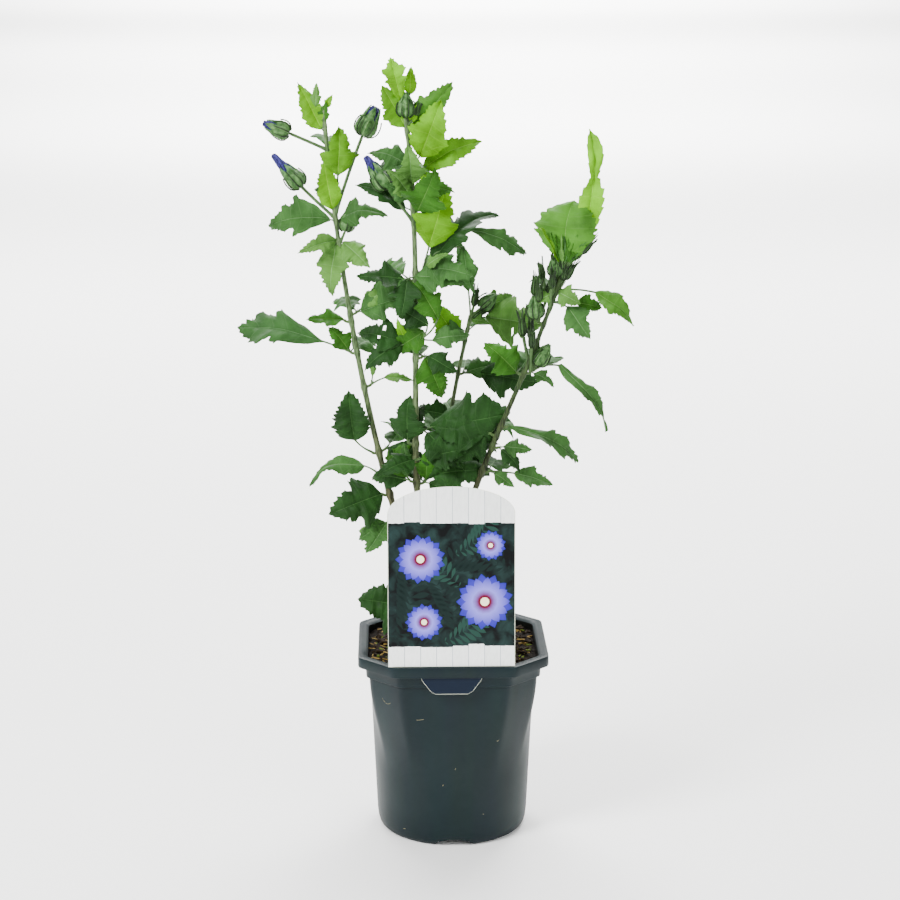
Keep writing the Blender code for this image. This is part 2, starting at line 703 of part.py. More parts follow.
def back_leaves(name, count, low, high):
    """Leaves on the side away from the label, dealt out by a rule that the mass's name seeds."""
    dice = random.Random(name)
    return tuple(
        Leaf(
            dice.uniform(low, high),
            dice.uniform(*BACK_TURN),
            dice.uniform(*BACK_RISE),
            dice.uniform(*BACK_STALK),
            dice.uniform(*BACK_BLADE),
            dice.uniform(*BACK_AIM),
            dice.uniform(*BACK_TILT),
        )
        for _ in range(count)
    )


def clear_of(meshes, others):
    trees = [surface_tree(mesh) for mesh in meshes]
    return not any(tree.overlap(other) for tree in trees for other in others)


def grown(parts, root_of, others):
    """Meshes of the leaves and buds that find room; each may turn a little to find it."""
    kept = []
    for part in parts:
        make = bud_meshes if isinstance(part, Bud) else leaf_meshes
        for nudge in NUDGES:
            meshes = make(root_of(part), part, nudge)
            if clear_of(meshes, others):
                kept += meshes
                break
        else:
            print("skipped for want of room:", part)
    return kept


def fused(core, meshes):
    """One solid from a twig and everything that grows on it."""
    pieces = bpy.data.collections.new("pieces")
    bpy.context.scene.collection.children.link(pieces)
    for mesh in meshes:
        loose_object("piece", mesh, pieces)
    carrier = loose_object("core", core)
    join = carrier.modifiers.new("join", "BOOLEAN")
    join.operation = "UNION"
    join.operand_type = "COLLECTION"
    join.collection = pieces
    join.solver = "MANIFOLD"
    mesh = evaluated_mesh(carrier)
    bpy.data.objects.remove(carrier, do_unlink=True)
    for piece in list(pieces.objects):
        bpy.data.objects.remove(piece, do_unlink=True)
    bpy.data.collections.remove(pieces)
    return mesh


def make_crown(name, others):
    stem = STEMS[name]
    points, radii = stem_between(stem, stem.crown_from + GAP, stem.tip[2])
    lowest, highest = stem.crown_from + BACK_FROM_FOOT, stem.tip[2] - BACK_FROM_TIP
    parts = CROWNS[name] + back_leaves(name, CROWN_BACK[name], lowest, highest)

    def root_of(part):
        return on_stem(stem, min(part.at, stem.tip[2] - 1))[0]

    return fused(tube(points, radii, resolution=1), grown(parts, root_of, others))


def make_spray(spray, others):
    centre, radius, along = on_stem(STEMS[spray.stem], spray.height)
    out = bearing(spray.turn, 0)
    out = (out - along * out.dot(along)).normalized()
    start = centre + out * (radius + GAP)
    knee = start + out * SPUR_NECK
    tip = knee + bearing(spray.turn, SPUR_RISE) * spray.reach
    spur = tube([start, knee, tip], [SPUR_RADIUS, SPUR_RADIUS, SPUR_RADIUS * 0.8])

    def root_of(part):
        return knee.lerp(tip, SPUR_ROOTS)

    parts = spray.parts + back_leaves(spray.name, spray.back, 0, 0)
    return fused(spur, grown(parts, root_of, others))


def make_plant():
    bark = material("old_bark", (0.115, 0.105, 0.055), 0.8)
    green_bark = material("young_bark", (0.20, 0.30, 0.13), 0.6)
    foliage = material("foliage", (0.060, 0.165, 0.035), 0.55)
    solids = [("trunk", make_trunk(), bark)]
    solids += [(f"stem_{name}", make_stem(stem), green_bark) for name, stem in STEMS.items()]
    others = [surface_tree(mesh) for _, mesh, _ in solids]
    for name in CROWNS:
        mesh = make_crown(name, others)
        solids.append((f"crown_{name}", mesh, foliage))
        others.append(surface_tree(mesh))
    for spray in (*SPRAYS, TRUNK_SHOOT):
        mesh = make_spray(spray, others)
        solids.append((spray.name, mesh, foliage))
        others.append(surface_tree(mesh))
    for name, mesh, surface in solids:
        finished(name, mesh, surface)


make_pot()
make_soil()
make_label()
make_plant()
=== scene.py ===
"""A young hibiscus shrub in its nursery pot: how every surface looks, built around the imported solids.

Sizes are in millimetres, and a finished piece is scaled to metres. A turn is a compass bearing seen from
above: 0 is +X, 90 is +Y, -90 is the front. Rise and aim are angles above the horizontal, in degrees.
"""

import math
import random
from collections import namedtuple

import bmesh
import bpy
from mathutils import Matrix, Vector, noise
from mathutils.geometry import interpolate_bezier


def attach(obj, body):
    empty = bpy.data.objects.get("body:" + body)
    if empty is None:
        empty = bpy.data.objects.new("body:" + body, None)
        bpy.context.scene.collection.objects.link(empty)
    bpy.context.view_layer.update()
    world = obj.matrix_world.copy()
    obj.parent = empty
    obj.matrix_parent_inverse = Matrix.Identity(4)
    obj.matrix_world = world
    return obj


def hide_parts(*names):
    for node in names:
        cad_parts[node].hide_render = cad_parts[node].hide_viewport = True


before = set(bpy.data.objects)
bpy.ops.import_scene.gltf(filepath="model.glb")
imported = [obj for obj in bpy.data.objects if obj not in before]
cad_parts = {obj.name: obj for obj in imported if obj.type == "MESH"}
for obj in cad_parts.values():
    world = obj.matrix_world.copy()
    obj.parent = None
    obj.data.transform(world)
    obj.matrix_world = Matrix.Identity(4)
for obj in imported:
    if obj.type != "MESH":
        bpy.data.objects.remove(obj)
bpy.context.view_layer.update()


# ---------------------------------------------------------------- camera
# A long lens two metres in front of the plant and a little above its middle, looking slightly down.
MM = 0.001
LENS = 92
FILM_WIDTH = 36
CAMERA_PLACE = (-1.8, -2000, 820)
CAMERA_DIP = 13.2
camera_data = bpy.data.cameras.new("camera")
camera_data.lens = LENS
camera_data.sensor_width = FILM_WIDTH
camera = bpy.data.objects.new("camera", camera_data)
camera.location = [MM * distance for distance in CAMERA_PLACE]
camera.rotation_euler = (math.radians(90 - CAMERA_DIP), 0, 0)
bpy.context.scene.collection.objects.link(camera)
bpy.context.scene.camera = camera


# ---------------------------------------------------------------- pot
# A thin-walled nursery pot of recycled polypropylene, injection moulded in one piece: a chamfered square
# rim that turns round towards the foot, with a flange, a band under it, a standing ring and drain arches.
POT_HEIGHT = 175
POT_TURN = 1.5
POT_POINTS = 240
WALL = 2.0
CHAMFER = 1.15
CORNER_SOFTNESS = 70  # the larger, the tighter the round between a flat side and its corner
FLANGE_HALF = 85
FLANGE_HEIGHT = 10
BAND_HALF = 77.8
BAND_HEIGHT = 11
BAND_TOP = POT_HEIGHT - FLANGE_HEIGHT
BODY_TOP = BAND_TOP - BAND_HEIGHT
BODY_TOP_HALF = 75
BASE_HALF = 68
FOOT_RADIUS = 63
GROOVE_OUTER = 50
GROOVE_INNER = 24
GROOVE_HEIGHT = 4.5
ARCH_HALF = 17
ARCH_HEIGHT = 6.6
ROUND_BELOW = 60
SQUARE_ABOVE = 150
BODY_STEP = 4  # height of one course of the body's wall


def hex_colour(text):
    """An sRGB hex colour as linear red, green, blue and full alpha."""
    shares = [int(text[i:i + 2], 16) / 255 for i in (0, 2, 4)]
    return (*[s / 12.92 if s <= 0.04045 else ((s + 0.055) / 1.055) ** 2.4 for s in shares], 1.0)


class Paint:
    """A material and its shader, with short ways to add the nodes that feed it."""

    def __init__(self, name, roughness, specular=0.5, colour=None):
        self.material = bpy.data.materials.new(name)
        self.material.use_nodes = True
        self.tree = self.material.node_tree
        self.shader = self.tree.nodes["Principled BSDF"].inputs
        self.shader["Roughness"].default_value = roughness
        self.shader["Specular IOR Level"].default_value = specular
        if colour:
            self.shader["Base Color"].default_value = hex_colour(colour)

    def add(self, kind, inputs, output=0, **properties):
        """A new node's output; each input is a number, a colour or another node's output."""
        made = self.tree.nodes.new("ShaderNode" + kind)
        for name, value in properties.items():
            setattr(made, name, value)
        for name, value in inputs.items():
            if isinstance(value, bpy.types.NodeSocket):
                self.tree.links.new(value, made.inputs[name])
            else:
                made.inputs[name].default_value = value
        return made.outputs[output]

    def plug(self, **outputs):
        """Feed the shader's sockets, whose names are written with _ for a space."""
        for name, output in outputs.items():
            self.tree.links.new(output, self.shader[name.replace("_", " ")])

    def spot(self, stretch=None, uv=False):
        """Coordinates in the object or in its UV map; a stretch under 1 draws a pattern out that way."""
        place = self.add("UVMap", {}, uv_map="UVMap") if uv else self.add("TexCoord", {}, "Object")
        return self.add("Mapping", {"Vector": place, "Scale": stretch}) if stretch else place

    def noise(self, scale, detail, stretch=None, uv=False, distortion=0.0):
        return self.add("TexNoise", {"Vector": self.spot(stretch, uv), "Scale": scale, "Detail": detail,
                                     "Distortion": distortion})

    def maths(self, operation, first, second=0.0, third=0.0):
        return self.add("Math", {0: first, 1: second, 2: third}, operation=operation)

    def limits(self, value, low, high, to_low=0.0, to_high=1.0):
        """Carry the range from low to high over to a new one, and hold the value inside it."""
        return self.add("MapRange", {"Value": value, "From Min": low, "From Max": high,
                                     "To Min": to_low, "To Max": to_high})

    def mix(self, factor, first, second, blend="MIX"):
        return self.add("Mix", {0: factor, 6: first, 7: second}, 2, data_type="RGBA", blend_type=blend)

    def ramp(self, factor, *stops):
        """A colour that runs through the stops, each a place and a hex colour, as the factor rises."""
        output = self.add("ValToRGB", {"Fac": factor})
        elements = output.node.color_ramp.elements
        elements[0].position, elements[-1].position = stops[0][0], stops[-1][0]
        for place, _ in stops[1:-1]:
            elements.new(place)
        for element, (_, colour) in zip(elements, stops):
            element.color = hex_colour(colour)
        return output

    def bump(self, height, strength, distance, invert=False, **under):
        """Relief; Normal, if given, is the relief that it lies on."""
        return self.add("Bump", {"Height": height, "Strength": strength, "Distance": distance, **under},
                        invert=invert)


def skinned(rings):
    """A closed wall through rings of like points, each extruded from the last, with its ends filled."""
    bm = bmesh.new()
    loop = bmesh.ops.create_circle(bm, segments=len(rings[0]), radius=1)["verts"]
    for vertex, point in zip(loop, rings[0]):
        vertex.co = point
    for ring in rings[1:]:
        edges = [bm.edges.get((loop[i - 1], loop[i])) for i in range(len(loop))]
        grown = bmesh.ops.extrude_edge_only(bm, edges=edges)["geom"]
        fresh = {item for item in grown if isinstance(item, bmesh.types.BMVert)}
        follow = []
        for vertex, point in zip(loop, ring):
            partner = next(e.other_vert(vertex) for e in vertex.link_edges if e.other_vert(vertex) in fresh)
            partner.co = point
            follow.append(partner)
        loop = follow
    bmesh.ops.holes_fill(bm, edges=[edge for edge in bm.edges if edge.is_boundary], sides=0)
    outward(bm)
    return bm


def outward(bm):
    bmesh.ops.recalc_face_normals(bm, faces=bm.faces)
    if bm.calc_volume(signed=True) < 0:
        bmesh.ops.reverse_faces(bm, faces=bm.faces)


def piece(name, bm, paints, nodes=(), sharp=40):
    """Turn a bmesh in millimetres into a finished piece that rides on the plant's one body."""
    mesh = bpy.data.meshes.new(name)
    bm.to_mesh(mesh)
    bm.free()
    mesh.transform(Matrix.Scale(MM, 4))
    for paint in paints:
        mesh.materials.append(paint.material)
    mesh.shade_smooth()
    mesh.set_sharp_from_angle(angle=math.radians(sharp))
    made = bpy.data.objects.new(name, mesh)
    bpy.context.scene.collection.objects.link(made)
    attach(made, "root")
    if nodes:
        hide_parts(*nodes)
    return made


def pot_outline(half, height, square=None):
    """The pot's outline at a height: a chamfered square with soft corners at the top, round at the foot."""
    if square is None:
        share = min(1.0, max(0.0, (height - ROUND_BELOW) / (SQUARE_ABOVE - ROUND_BELOW)))
        square = share * share * (3 - 2 * share)
    points = []
    for i in range(POT_POINTS):
        angle = 2 * math.pi * i / POT_POINTS
        flat = 1 / math.cos(math.remainder(angle, math.pi / 2))
        corner = CHAMFER / math.cos(math.remainder(angle - math.pi / 4, math.pi / 2))
        blend = math.exp(-CORNER_SOFTNESS * flat) + math.exp(-CORNER_SOFTNESS * corner)
        soft = -math.log(blend) / CORNER_SOFTNESS
        radius = half * (1 + square * (soft - 1))
        turned = angle + math.radians(POT_TURN)
        points.append(Vector((radius * math.cos(turned), radius * math.sin(turned), height)))
    return points


def foot_outline(radius, height):
    """A round outline of the foot, lifted where the four drain arches cross it."""
    points = pot_outline(radius, height, square=0)
    if radius < GROOVE_OUTER:
        return points
    for point in points:
        local = Matrix.Rotation(math.radians(-POT_TURN), 3, "Z") @ point
        off_axis = min(abs(local.x), abs(local.y)) / ARCH_HALF
        if off_axis < 1:
            point.z = max(point.z, ARCH_HEIGHT * math.sqrt(1 - off_axis * off_axis))
    return points


def body_half(height):
    return BASE_HALF + (BODY_TOP_HALF - BASE_HALF) * height / BODY_TOP


def pot_floor(lift):
    """The inside of the floor from the wall to the middle, raised by lift."""
    rings = ((FOOT_RADIUS + 3 - lift, ARCH_HEIGHT), (GROOVE_OUTER + 2 + lift, ARCH_HEIGHT),
             (GROOVE_INNER + 1 - lift, GROOVE_HEIGHT), (GROOVE_INNER - 2 - lift, 0))
    return [pot_outline(radius, height + WALL + lift, 0) for radius, height in rings]


# Half width and height of each ring of the wall, from the middle of the underside to the inside of the rim.
FOOT_RINGS = (
    (2, 0), (GROOVE_INNER - 2, 0), (GROOVE_INNER, GROOVE_HEIGHT), (GROOVE_OUTER, GROOVE_HEIGHT),
    (GROOVE_OUTER + 2, 0), (FOOT_RADIUS, 0), (BASE_HALF - 3.6, 0.7), (BASE_HALF - 2.0, 2.2),
    (BASE_HALF - 0.9, 4.4), (BASE_HALF - 0.1, 8),
)
RIM_RINGS = (
    (BAND_HALF - 0.9, BODY_TOP + 0.15), (BAND_HALF - 0.2, BODY_TOP + 0.6), (BAND_HALF, BODY_TOP + 1.4),
    (BAND_HALF + 0.4, BAND_TOP - 1.0), (BAND_HALF + 1.0, BAND_TOP - 0.1), (FLANGE_HALF - 1.2, BAND_TOP),
    (FLANGE_HALF - 0.3, BAND_TOP + 0.4), (FLANGE_HALF, BAND_TOP + 1.3), (FLANGE_HALF, POT_HEIGHT - 1.5),
    (FLANGE_HALF - 0.4, POT_HEIGHT - 0.4), (FLANGE_HALF - 1.4, POT_HEIGHT), (BAND_HALF + 1.6, POT_HEIGHT),
    (BAND_HALF + 0.2, POT_HEIGHT - 0.6), (BAND_HALF + 0.4 - WALL, POT_HEIGHT - 2.4),
    (BAND_HALF - WALL, BODY_TOP + 2),
)
BODY_FROM = 14
body_heights = [BODY_FROM + BODY_STEP * i for i in range(int((BODY_TOP - BODY_FROM) / BODY_STEP) + 1)]
body_heights.append(BODY_TOP)
outside = [foot_outline(half, height) for half, height in FOOT_RINGS]
outside += [pot_outline(body_half(height), height) for height in body_heights]
outside += [pot_outline(half, height) for half, height in RIM_RINGS]
inside = [pot_outline(body_half(height) - WALL, height) for height in reversed(body_heights)]
bm = skinned(outside + inside + pot_floor(0))
# The inner faces of the band and flange, round the soil's top, take a second, near-black material: painted shade,
# where the inside of the rim lies in shadow.
for face in bm.faces:
    middle = face.calc_center_median()
    if BODY_TOP < middle.z < POT_HEIGHT - 1.5 and middle.dot(face.normal) < middle.z * face.normal.z:
        face.material_index = 1

plastic = Paint("moulded_polypropylene", 0.42, 0.11)
flow = plastic.noise(45, 5, stretch=(1, 1, 0.12))
cloud = plastic.noise(22, 4)
tone = plastic.ramp(cloud, (0, "0d181a"), (1, "182426"))
plastic.plug(
    Base_Color=plastic.mix(0.25, tone, flow.node.outputs["Color"], "OVERLAY"),
    Roughness=plastic.limits(flow, 0, 1, 0.34, 0.52),
    Normal=plastic.bump(plastic.noise(1400, 2), 0.12, 0.0002, Normal=plastic.bump(cloud, 0.10, 0.002)),
)
# Near-black plastic for the inside of the rim: painted shade.
painted_shade_inner_wall = Paint("soil_stained_polypropylene", 0.8, 0.1, "0b0d0a")
piece("pot", bm, [plastic, painted_shade_inner_wall], ["pot"])

# Bits of straw and dust stuck to the wall: across, height, length, slope and bow, with the bit's half width.
FLECKS = (
    (-58, 137, 7.5, -12, 3.2, 0.24),
    (-28, 123, 6.5, 8, 0.3, 0.20),
    (-8, 60, 1.6, 60, 0.0, 0.45),
    (-43, 12, 2.2, 20, 0.2, 0.28),
    (3, 76, 2.0, 70, 0.2, 0.18),
    (41, 101, 3.0, 35, 0.5, 0.26),
    (28, 30, 1.6, -20, 0.0, 0.2),
)
FLECK_BEADS = 14


def wall_front(x, height):
    """Depth of the pot's front wall at a point across it and a height."""
    outline = pot_outline(body_half(height), height)
    return min(outline, key=lambda point: abs(point.x - x) + (1000 if point.y > 0 else 0)).y


bm = bmesh.new()
for x, height, length, slope, bow, half in FLECKS:
    for i in range(FLECK_BEADS):
        share = i / FLECK_BEADS - 0.5
        angle = math.radians(slope)
        across = x + length * share * math.cos(angle)
        up = height + length * share * math.sin(angle) - bow * (1 - 4 * share * share)
        seat = Matrix.Translation((across, wall_front(across, up) - 0.1, up)) @ Matrix.Rotation(-angle, 4, "Y")
        bmesh.ops.create_icosphere(bm, subdivisions=1, radius=1,
                                   matrix=seat @ Matrix.Diagonal((length / FLECK_BEADS, half * 0.5, half, 1)))
piece("pot_flecks", bm, [Paint("dusty_straw", 0.85, colour="767257")])


# ---------------------------------------------------------------- soil
# Peat compost filled to a finger's width under the rim, dark and crumbly, with chips of bark and
# ends of straw lying on it; it is only poured in and pressed down round the roots.
SOIL_TOP = 168
SOIL_EDGE = 165
SOIL_RINGS = 34
CHIPS_REACH = 72
CHIPS_CORNER = 1.58  # where the pot's chamfer cuts the chips' square field off
CHIP_LEAN = 0.25
GAP = 0.3


def soil_height(x, y):
    """The crumbled surface: low at the wall, a little higher round the trunk."""
    reach = min(1.0, math.hypot(x, y) / 76)
    lumps = noise.fractal(Vector((x, y, 3)) / 9, 1.0, 2.0, 4)
    crumbs = noise.noise(Vector((x, y, 8)) / 2.6)
    return SOIL_TOP + 0.8 - 1.8 * reach ** 3 + 2.0 * lumps + 1.2 * crumbs


def grained(name, roughness, specular, scale, detail, stops, relief=None, stretch=None):
    """A surface whose colour, and whose relief if it has any, follow one noise."""
    paint = Paint(name, roughness, specular)
    grain = paint.noise(scale, detail, stretch)
    paint.plug(Base_Color=paint.ramp(grain, *stops))
    if relief:
        paint.plug(Normal=paint.bump(grain, *relief))
    return paint


edge = pot_outline(BAND_HALF - WALL - GAP, SOIL_EDGE)
crust = []
for i in range(SOIL_RINGS):
    share = 1 - i / SOIL_RINGS
    crust.append([Vector((p.x * share, p.y * share, soil_height(p.x * share, p.y * share))) for p in edge])
walls = [pot_outline(body_half(height) - WALL - GAP, height) for height in body_heights]
walls.append(pot_outline(BAND_HALF - WALL - GAP, BODY_TOP + 3))
peat = grained("moist_peat", 0.95, 0.08, 420, 8, ((0.35, "030201"), (0.75, "1a120b")), (0.9, 0.0015))
piece("soil", skinned(pot_floor(GAP)[::-1] + walls + crust), [peat], ["soil"], sharp=180)


def scatter(name, count, size_range, proportions, paint, seed):
    """Small wedge-ended chips that lie on the soil at all angles."""
    dice = random.Random(seed)
    noise.seed_set(seed)  # noise_vector would otherwise start from the clock
    bm = bmesh.new()
    for _ in range(count):
        x, y = dice.uniform(-CHIPS_REACH, CHIPS_REACH), dice.uniform(-CHIPS_REACH, CHIPS_REACH)
        if abs(x) + abs(y) > CHIPS_CORNER * CHIPS_REACH:
            x, y = x * 0.7, y * 0.7
        size = dice.uniform(*size_range)
        lean = Matrix.Rotation(dice.gauss(0, CHIP_LEAN), 4, "X") @ Matrix.Rotation(dice.gauss(0, CHIP_LEAN), 4, "Y")
        spin = Matrix.Rotation(dice.uniform(0, math.pi), 4, "Z")
        scale = Matrix.Diagonal((*[size * share for share in proportions], 1))
        lift = Matrix.Translation((x, y, soil_height(x, y) + size * proportions[2] * 0.5))
        chip = bmesh.ops.create_cone(
            bm, cap_ends=True, segments=6, radius1=0.5, radius2=dice.uniform(0.2, 0.5), depth=1,
            matrix=lift @ spin @ lean @ scale @ Matrix.Rotation(math.pi / 2, 4, "Y"))["verts"]
        for vertex in chip:
            vertex.co += noise.noise_vector(vertex.co / 2) * 0.12 * size * proportions[2]
    outward(bm)
    piece(name, bm, [paint])


# How many of each, their shortest and longest, their length, width and height as shares of that, and the
# dark and pale tone of what they are made of.
CHIPS = (
    ("bark_chips", 560, (3, 9), (1, 0.5, 0.3), "chipped_bark", "080503", "2a1e10"),
    ("pale_chips", 190, (3, 9), (1, 0.34, 0.2), "dry_wood_chips", "4a3812", "87703c"),
    ("straw_ends", 120, (6, 14), (1, 0.11, 0.08), "dry_straw", "6a5222", "a8925a"),
    ("moss_crumbs", 110, (2, 5), (1, 0.6, 0.4), "green_moss", "26300c", "5c6a1e"),
)
FIRST_CHIP_SEED = 11
for seed, (name, count, sizes, proportions, matter, dark, pale) in enumerate(CHIPS, FIRST_CHIP_SEED):
    paint = grained(matter, 0.85, 0.1, 260, 4, ((0, dark), (1, pale)), (0.5, 0.0005))
    scatter(name, count, sizes, proportions, paint, seed)


# ---------------------------------------------------------------- plant label
# A plant label of printed, coated card, die cut with an arched top; its tongue is pushed through the
# slot in the pot's flange, so that it stands on the rim and leans back a little.
CARD_WIDTH = 111
CARD_HEIGHT = 160
CARD_ARCH = 24
CARD_THICKNESS = 0.8
CARD_LEAN = 4
CARD_SETBACK = 81.6
CARD_SHIFT = -2.5
TONGUE_TOP = 53
TONGUE_FOOT = 33
TONGUE_LENGTH = 25
INK = 0.03  # how far each printed layer stands in front of the last
CARD_MARGIN = 0.35  # unprinted edge of the card
HEADER_FROM = 128
FOOTER_TO = 18

card_seat = (
    Matrix.Rotation(math.radians(POT_TURN), 4, "Z")
    @ Matrix.Translation((CARD_SHIFT, -CARD_SETBACK, POT_HEIGHT + GAP))
    @ Matrix.Rotation(math.radians(90 - CARD_LEAN), 4, "X")
)


def arch_height(x, inset=0.0):
    """Height of the card's arched top over a point across it."""
    half = CARD_WIDTH / 2 - inset
    bow = math.sqrt(max(0.0, 1 - (x / half) ** 2))
    return CARD_HEIGHT - CARD_ARCH + (CARD_ARCH - inset) * bow


def flat_sheet(columns, rows, shape):
    """A flat grid whose points shape(u, v) places, u and v each from 0 to 1, with a matching UV map."""
    bm = bmesh.new()
    uv = bm.loops.layers.uv.new("UVMap")
    grid = bmesh.ops.create_grid(bm, x_segments=columns, y_segments=rows, size=0.5)["verts"]
    spots = {vertex: (vertex.co.x + 0.5, vertex.co.y + 0.5) for vertex in grid}
    for face in bm.faces:
        for corner in face.loops:
            corner[uv].uv = spots[corner.vert]
    for vertex, (u, v) in spots.items():
        vertex.co = shape(u, v)
    return bm


def printed(name, bm, paint, layer):
    """Lay a flat sheet on the card's front as one layer of its print."""
    bmesh.ops.translate(bm, verts=bm.verts, vec=(0, 0, CARD_THICKNESS / 2 + INK * layer))
    bmesh.ops.transform(bm, matrix=card_seat, verts=bm.verts)
    piece(name, bm, [paint], sharp=180)


def card_surface(name, roughness, specular, colour):
    """Smooth coated card with a trace of its fibres."""
    paint = Paint(name, roughness, specular, colour)
    paint.plug(Normal=paint.bump(paint.noise(900, 3), 0.08, 0.0002))
    return paint


def cut_card(name, columns, rows, shape, nodes=()):
    """One part of the card, given its thickness and set in its place."""
    bm = flat_sheet(columns, rows, shape)
    bmesh.ops.solidify(bm, geom=bm.faces[:], thickness=CARD_THICKNESS)
    outward(bm)
    bmesh.ops.transform(bm, matrix=card_seat, verts=bm.verts)
    piece(name, bm, [card], nodes)


def card_point(u, v):
    x = CARD_WIDTH / 2 * math.sin(math.pi * (u - 0.5))
    return Vector((x, v * arch_height(x), CARD_THICKNESS / 2))


def tongue_point(u, v, inset=0.0):
    drop = (1 - v) * (TONGUE_LENGTH - inset)
    neck = FLANGE_HEIGHT + 2
    share = max(0.0, (drop - neck) / (TONGUE_LENGTH - neck))
    width = TONGUE_TOP + (TONGUE_FOOT - TONGUE_TOP) * share - 2 * inset
    round_off = 4.0 * max(0.0, (share - 0.75) / 0.25) ** 2
    return Vector(((u - 0.5) * (width - round_off), -drop, CARD_THICKNESS / 2))


card = card_surface("coated_card", 0.32, 0.5, "eef4de")
cut_card("label_card", 40, 12, card_point, ["label"])
cut_card("label_tongue", 16, 16, tongue_point)
bm = flat_sheet(16, 16, lambda u, v: tongue_point(u, v, 0.2) + Vector((0, 0, INK)))
bmesh.ops.transform(bm, matrix=card_seat, verts=bm.verts)
piece("tongue_print", bm, [card_surface("navy_printed_card", 0.45, 0.12, "0a1524")])


# ---------------------------------------------------------------- label print
# The card's printed front: whitewashed boards above and below a dark garden picture of blue asters
# and fern fronds, printed as flat inks under one gloss coat.
PRINT_WIDTH = CARD_WIDTH - 2 * CARD_MARGIN
BOARD_WIDTH = 0.127  # a board's share of the print's width
BOARD_WEAR = 3.4  # how far the boards' sawn ends stand out


def ragged(u, seed):
    """The uneven sawn ends of the boards, one step for each board."""
    board = math.floor(u / BOARD_WIDTH)
    return BOARD_WEAR * noise.noise(Vector((board * 1.7, seed, 0))) + 0.4 * noise.noise(Vector((u * 40, seed, 5)))


def header_point(u, v):
    x = (u - 0.5) * PRINT_WIDTH
    low = HEADER_FROM + ragged(u, 2.0)
    return Vector((x, low + v * (arch_height(x, CARD_MARGIN) - low), 0))


def footer_point(u, v):
    return Vector(((u - 0.5) * PRINT_WIDTH, CARD_MARGIN + v * (FOOTER_TO + ragged(u, 7.0) - CARD_MARGIN), 0))


def picture_point(u, v):
    return Vector(((u - 0.5) * PRINT_WIDTH, FOOTER_TO - 2 + v * (HEADER_FROM - FOOTER_TO + 4), 0))


boards = Paint("whitewashed_board_print", 0.35)
planks = boards.add("TexBrick", {
    "Vector": boards.spot(uv=True), "Scale": 1.0, "Brick Width": BOARD_WIDTH, "Row Height": 9.0,
    "Mortar Size": 0.0022, "Mortar": hex_colour("8d94a2"),
    "Color1": hex_colour("fcfffd"), "Color2": hex_colour("f1f5f2")}, offset=0.0)
wear = boards.limits(boards.noise(1.0, 6, stretch=(60, 3, 1), uv=True), 0.35, 0.62, 0.90, 1.0)
boards.plug(Base_Color=boards.mix(1.0, planks, wear, "MULTIPLY"))
garden = Paint("dark_garden_print", 0.4, 0.12)
blur = garden.noise(9, 5, uv=True, distortion=0.6)
garden.plug(Base_Color=garden.ramp(blur, (0.38, "010304"), (0.72, "1c302e")))
printed("print_garden", flat_sheet(4, 4, picture_point), garden, 1)
printed("print_header", flat_sheet(160, 4, header_point), boards, 4)
printed("print_footer", flat_sheet(160, 2, footer_point), boards, 4)


def merge(bm, extra):
    """Join one bmesh into another."""
    carrier = bpy.data.meshes.new("carrier")
    extra.to_mesh(carrier)
    extra.free()
    bm.from_mesh(carrier)
    bpy.data.meshes.remove(carrier)


def inside_picture(bm):
    """Cut a print off at the picture's edges."""
    half = CARD_WIDTH / 2 - CARD_MARGIN
    for point, side in (((half, 0, 0), (1, 0, 0)), ((-half, 0, 0), (-1, 0, 0)),
                        ((0, FOOTER_TO, 0), (0, -1, 0)), ((0, HEADER_FROM, 0), (0, 1, 0))):
        everything = bm.verts[:] + bm.edges[:] + bm.faces[:]
        bmesh.ops.bisect_plane(bm, geom=everything, plane_co=point, plane_no=side, clear_outer=True)


def petal(centre, turn, start, length, width, layer):
    """One round-ended petal or leaflet of the print, its UV running from its root to its tip."""
    along = Vector((math.cos(turn), math.sin(turn), 0))
    across = Vector((-math.sin(turn), math.cos(turn), 0))

    def shape(u, v):
        swell = math.sin(math.pi * min(1.0, 0.12 + 0.88 * v) ** 1.6)
        side = (u - 0.5) * width * max(0.02, swell) if v < 1 else 0.0
        return Vector(centre) + along * (start + v * length) + across * side + Vector((0, 0, layer * INK))

    return flat_sheet(4, 12, shape)


def print_of(name, layer, shapes, paint):
    """Print many small shapes as one layer."""
    bm = bmesh.new()
    bm.loops.layers.uv.new("UVMap")
    for shape in shapes:
        merge(bm, shape)
    inside_picture(bm)
    printed(name, bm, paint, layer)


def fern(foot, turn, length):
    """A frond of paired leaflets along a slightly bent rib."""
    shapes = []
    pairs = 11
    for i in range(pairs):
        share = (i + 0.5) / pairs
        bend = turn + 0.5 * share
        spot = (foot[0] + length * share * math.cos(bend), foot[1] + length * share * math.sin(bend), 0)
        size = length * 0.30 * math.sin(math.pi * (0.15 + 0.8 * (1 - share)))
        for side in (-1, 1):
            shapes.append(petal(spot, bend + side * 1.05, 0, size, size * 0.3, 0))
    return shapes


ASTERS = (  # place across and up the card, radius
    (-27, 96, 21),
    (29, 58, 24),
    (-24, 40, 16),
    (34, 108, 13),
)
print_of("print_ferns_dark", 2, fern((-50, 22), 0.9, 62) + fern((52, 84), 2.5, 60) + fern((4, 20), 1.4, 58),
         Paint("deep_green_ink", 0.4, 0.12, "0c1c1a"))
print_of("print_ferns_pale", 3, fern((8, 70), 2.2, 52) + fern((-8, 22), 0.25, 50) + fern((2, 100), 0.35, 48),
         Paint("soft_green_ink", 0.4, 0.12, "1c3830"))


def petal_ink(name, root, middle, tip):
    """A petal that is wine red at its root and pales, then deepens to blue at its tip."""
    paint = Paint(name, 0.4, 0.15)
    along = paint.add("SeparateXYZ", {"Vector": paint.spot(uv=True)}, "Y")
    paint.plug(Base_Color=paint.ramp(along, (0.12, root), (0.42, middle), (1.0, tip)))
    return paint


